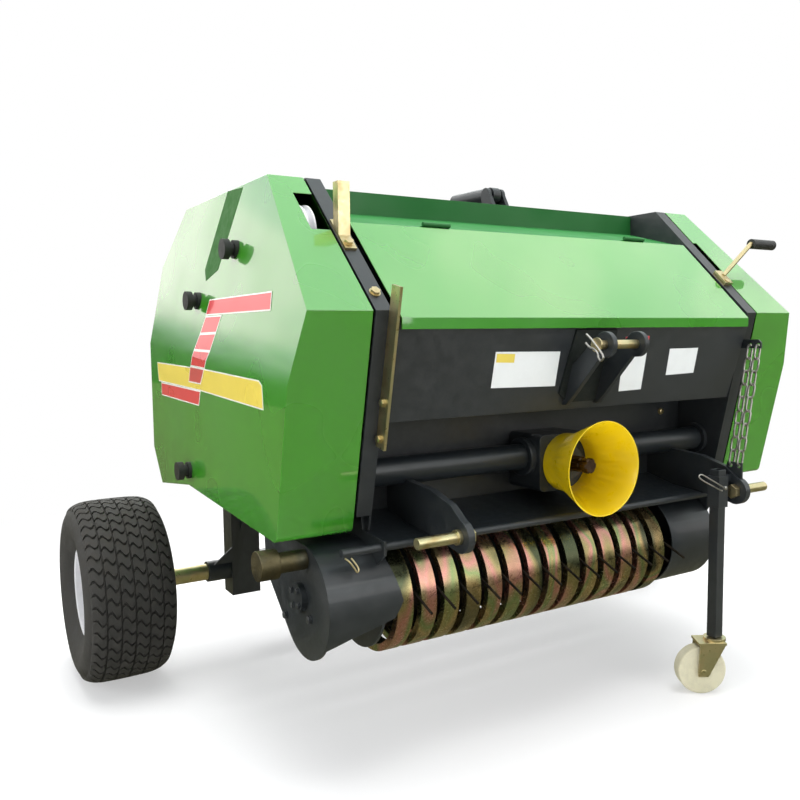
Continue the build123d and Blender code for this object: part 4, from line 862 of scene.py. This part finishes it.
SLOPE_UP = (0.0, -0.694, 0.720)
BOLTS = [
    # place (metres), axis, thread
    ((-0.530, -0.4535, 0.9520), SLOPE_UP, 0.010),
    ((-0.532, -0.3540, 1.0535), SLOPE_UP, 0.010),
    ((-0.519, -0.4620, 0.7450), (-1, 0, 0), 0.008),
    ((-0.513, -0.4620, 0.7450), (1, 0, 0), 0.008),
    ((-0.519, -0.4460, 0.6750), (-1, 0, 0), 0.008),
    ((-0.513, -0.4460, 0.6750), (1, 0, 0), 0.008),
    ((0.478, -0.2825, 0.532), (0, -1, 0), 0.008),
    ((0.440, -0.2825, 0.660), (0, -1, 0), 0.008),
    ((0.440, -0.2825, 0.600), (0, -1, 0), 0.008),
    ((0.529, -0.4120, 0.9990), SLOPE_UP, 0.008),
]
GUARD_BOLTS = [
    ((-0.640, -0.3795, 0.325), (-1, 0, 0), 0.008),
    ((-0.640, -0.3000, 0.420), (-1, 0, 0), 0.008),
    ((-0.640, -0.2600, 0.300), (-1, 0, 0), 0.008),
]
HUB_X, HUB_Y, HUB_Z = -0.652, -0.3375, 0.359
HUB_CIRCLE = 0.020
hub_bolts = []
for turn in (0.6, 0.6 + pi / 2, 0.6 + pi, 0.6 + 3 * pi / 2):
    place = (HUB_X, HUB_Y + HUB_CIRCLE * cos(turn), HUB_Z + HUB_CIRCLE * sin(turn))
    hub_bolts.append((place, (-1, 0, 0), 0.006))
fitting("bolt_heads", [bolt(*b) for b in BOLTS], yellow_zinc)
fitting("guard_bolts", [bolt(*b) for b in hub_bolts + GUARD_BOLTS], frame_paint, "frame")
print("bolts", len(BOLTS + hub_bolts + GUARD_BOLTS))

# %% Clips and pins
COTTER_X = -0.0765
COTTER = [  # y, z
    (-0.5380, 0.8700), (-0.5520, 0.8600), (-0.5645, 0.8490), (-0.5750, 0.8390), (-0.5840, 0.8290),
    (-0.5865, 0.8210), (-0.5800, 0.8160), (-0.5735, 0.8220), (-0.5700, 0.8330), (-0.5600, 0.8400),
    (-0.5480, 0.8430), (-0.5360, 0.8520),
]
STAND_PIN = [
    (0.3430, -0.5545, 0.500), (0.3400, -0.5560, 0.4990), (0.3000, -0.5600, 0.5160),
    (0.2700, -0.5580, 0.5310), (0.2600, -0.5560, 0.5400), (0.2690, -0.5560, 0.5440),
    (0.3000, -0.5580, 0.5290), (0.3400, -0.5560, 0.5100), (0.3480, -0.5545, 0.5060),
]
GUARD_CLIP = [
    (-0.5990, -0.4500, 0.4560), (-0.5930, -0.4560, 0.4500), (-0.5840, -0.4590, 0.4370),
    (-0.5790, -0.4600, 0.4290), (-0.5740, -0.4570, 0.4330), (-0.5780, -0.4530, 0.4430),
    (-0.5850, -0.4480, 0.4540),
]
COTTER_WIRE_R, STAND_WIRE_R, CLIP_WIRE_R = 0.0023, 0.0016, 0.0018
cotter = tube(smooth_path([(COTTER_X, y, z) for y, z in COTTER]), COTTER_WIRE_R)
washer_wall = [(0.0, 0.0098), (0.0, 0.0150), (0.003, 0.0150), (0.003, 0.0098)]
washer = turned((-0.0745, -0.5645, 0.848), (1, 0, 0), washer_wall, 28)
stand_wire = tube(smooth_path(STAND_PIN), STAND_WIRE_R)
pin_end = turned((0.357, -0.5500, 0.503), (0, -1, 0), [(0.0, 0.005), (0.006, 0.005), (0.008, 0.003)], 16)
guard_clip = tube(smooth_path(GUARD_CLIP), CLIP_WIRE_R)
fitting("mast_cotter", [cotter], bright_steel, "frame")
fitting("mast_washer", [washer], yellow_zinc)
fitting("stand_pin", [stand_wire, pin_end], bright_steel, "frame")
fitting("guard_clip", [guard_clip], yellow_zinc)
print("clips made")

# %% [markdown]
# ## Blank plates and the mast's backing
# The box front carries three paper-white plates, left bare here, and a backing plate behind
# the mast, coloured near-black as painted shade. Each is a thin sheet laid on the panel: its
# corners are given across and up, and the panel's lean gives the third number.

# %% Plates on the box front
PANEL_TOP_Y, PANEL_TOP_Z = -0.005, 0.895
PANEL_DROP, PANEL_RUN = 0.191, 0.058
PANEL_OUT = (0.0, -0.957, -0.291)
PLATE_SHEET, BACKING_SHEET = 0.0005, 0.005


def on_panel(x, z, lift):
    """Point on the leaning front panel at x and height z, lifted off it."""
    down = (PANEL_TOP_Z - z) / PANEL_DROP
    place = np.array([x, PANEL_TOP_Y - ORIGIN_Y + PANEL_RUN * down, z])
    return place + np.array(PANEL_OUT) * lift


def panel_sheet(name, corners, material, lift, thickness):
    """Thin sheet on the panel with corners (x, z): its front lies at lift + thickness, its back at lift."""
    n = len(corners)
    points = [on_panel(x, z, lift + thickness) for x, z in corners]
    points += [on_panel(x, z, lift) for x, z in corners]
    faces = [tuple(range(n)), tuple(reversed(range(n, 2 * n)))]
    faces += [(i, (i + 1) % n, n + (i + 1) % n, n + i) for i in range(n)]
    return fitting(name, [(points, faces)], material, "frame")


PLATES = [
    # name, corners (x, z), material, lift
    ("plate_left", [(-0.2637, 0.8363), (-0.0905, 0.8335), (-0.0854, 0.7585), (-0.2592, 0.7614)],
     label_white, 0.0002),
    ("plate_left_corner", [(-0.2600, 0.8325), (-0.2130, 0.8310), (-0.2118, 0.8130), (-0.2586, 0.8146)],
     stripe_yellow, 0.0007),
    ("plate_middle", [(0.0950, 0.8628), (0.1700, 0.8640), (0.1850, 0.7395), (0.1130, 0.7377)],
     label_white, 0.0002),
    ("plate_middle_top", [(0.0950, 0.8628), (0.1700, 0.8640), (0.1724, 0.8448), (0.0976, 0.8440)],
     stripe_red, 0.0007),
    ("plate_right", [(0.2497, 0.8332), (0.3483, 0.8336), (0.3551, 0.7729), (0.2586, 0.7703)],
     label_white, 0.0002),
]
BACKING = [
    (-0.060, 0.880), (0.060, 0.880), (0.060, 0.735), (0.044, 0.722), (-0.044, 0.722), (-0.072, 0.742),
]
for name, corners, material, lift in PLATES:
    panel_sheet(name, corners, material, lift, PLATE_SHEET)
# The backing's near-black is painted shade, for the shaded web behind the mast.
panel_sheet("mast_backing", BACKING, shadow_paint, 0.0, BACKING_SHEET)
print("plates", len(PLATES) + 1)

# %% [markdown]
# ## Round pieces and the closing sheet
# Two pieces are turned rather than folded. The cross shaft runs in a wide tube, with a
# collar against the gearbox, and the twine runs over a white grooved pulley behind the
# window in the cover. Each is a profile of heights and radii turned about its axis. The
# sheet behind the bands is a guess: the photograph shows only darkness between them, so a
# bent strip there closes the view through the pickup.

# %% Cross tubes
TUBE_Y, TUBE_Z, TUBE_R = 0.150, 0.590, 0.030
TUBE_START_X, TUBE_END_X = 0.073, 0.512
COLLAR_R, FLANGE_R = 0.044, 0.040
tube_length = TUBE_END_X - TUBE_START_X
tube_wall = [  # distance from the gearbox, radius
    (0.0, COLLAR_R), (0.014, COLLAR_R), (0.016, COLLAR_R - 0.002), (0.016, TUBE_R),
    (tube_length - 0.012, TUBE_R), (tube_length - 0.012, FLANGE_R), (tube_length - 0.001, FLANGE_R),
]
tubes = []
for side in (-1, 1):
    start = (side * TUBE_START_X, TUBE_Y - ORIGIN_Y, TUBE_Z)
    tubes.append(turned(start, (side, 0, 0), tube_wall, 40))
points, faces = gather(tubes)
tube_piece = mesh_object("cross_tubes", points, faces, frame_paint)
shade_by_angle(tube_piece)
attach(tube_piece, "frame")
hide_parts("drive_tubes")
print("tubes", len(faces), "faces")

# %% Twine pulley
PULLEY_X, PULLEY_Y, PULLEY_Z, PULLEY_R = -0.590, 0.262, 1.080, 0.060
GROOVE_R = PULLEY_R - 0.012
PULLEY_AXLE_X = -0.594
pulley_wall = [  # distance from the outer face, radius
    (0.004, 0.012), (0.0, 0.016), (0.0, 0.024), (0.005, 0.028), (0.005, 0.046), (0.0, 0.050),
    (0.0, PULLEY_R - 0.002), (0.002, PULLEY_R), (0.005, PULLEY_R), (0.010, GROOVE_R), (0.014, GROOVE_R),
    (0.019, PULLEY_R), (0.022, PULLEY_R), (0.024, PULLEY_R - 0.002), (0.024, 0.016),
]
axle_wall = [(0.0, 0.006), (0.002, 0.008), (0.077, 0.008)]
pulley = turned((PULLEY_X, PULLEY_Y - ORIGIN_Y, PULLEY_Z), (1, 0, 0), pulley_wall, 56)
axle = turned((PULLEY_AXLE_X, PULLEY_Y - ORIGIN_Y, PULLEY_Z), (1, 0, 0), axle_wall, 20)
points, faces = gather([pulley, axle])
pulley_piece = mesh_object("grooved_pulley", points, faces, white_paint)
shade_by_angle(pulley_piece)
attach(pulley_piece, "frame")
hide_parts("twine_pulley")
print("pulley", len(faces), "faces")

# %% Sheet behind the bands
SHEET_LEFT_X, SHEET_RIGHT_X = -0.505, 0.425
SHEET_WALL = 0.0015
bend = np.array([(0.2450, 0.275), (0.2535, 0.300), (0.2535, 0.372), (0.4230, 0.500)])  # y, z
section = np.concatenate([bend, (bend - SHEET_WALL)[::-1]])
sheet_points = [(x, y - ORIGIN_Y, z) for x in (SHEET_LEFT_X, SHEET_RIGHT_X) for y, z in section]
n = len(section)
sheet_faces = [(i, (i + 1) % n, n + (i + 1) % n, n + i) for i in range(n)]
sheet_faces += [(i, i + 1, n - 2 - i, n - 1 - i) for i in range(len(bend) - 1)]
sheet_faces += [(n + i, n + i + 1, 2 * n - 2 - i, 2 * n - 1 - i) for i in range(len(bend) - 1)]
# The sheet's near-black is painted shade: it stands where the pickup shows only shade between the bands.
fitting("pickup_back_sheet", [(sheet_points, sheet_faces)], shadow_paint, "frame")
print("sheet", len(sheet_faces), "faces")
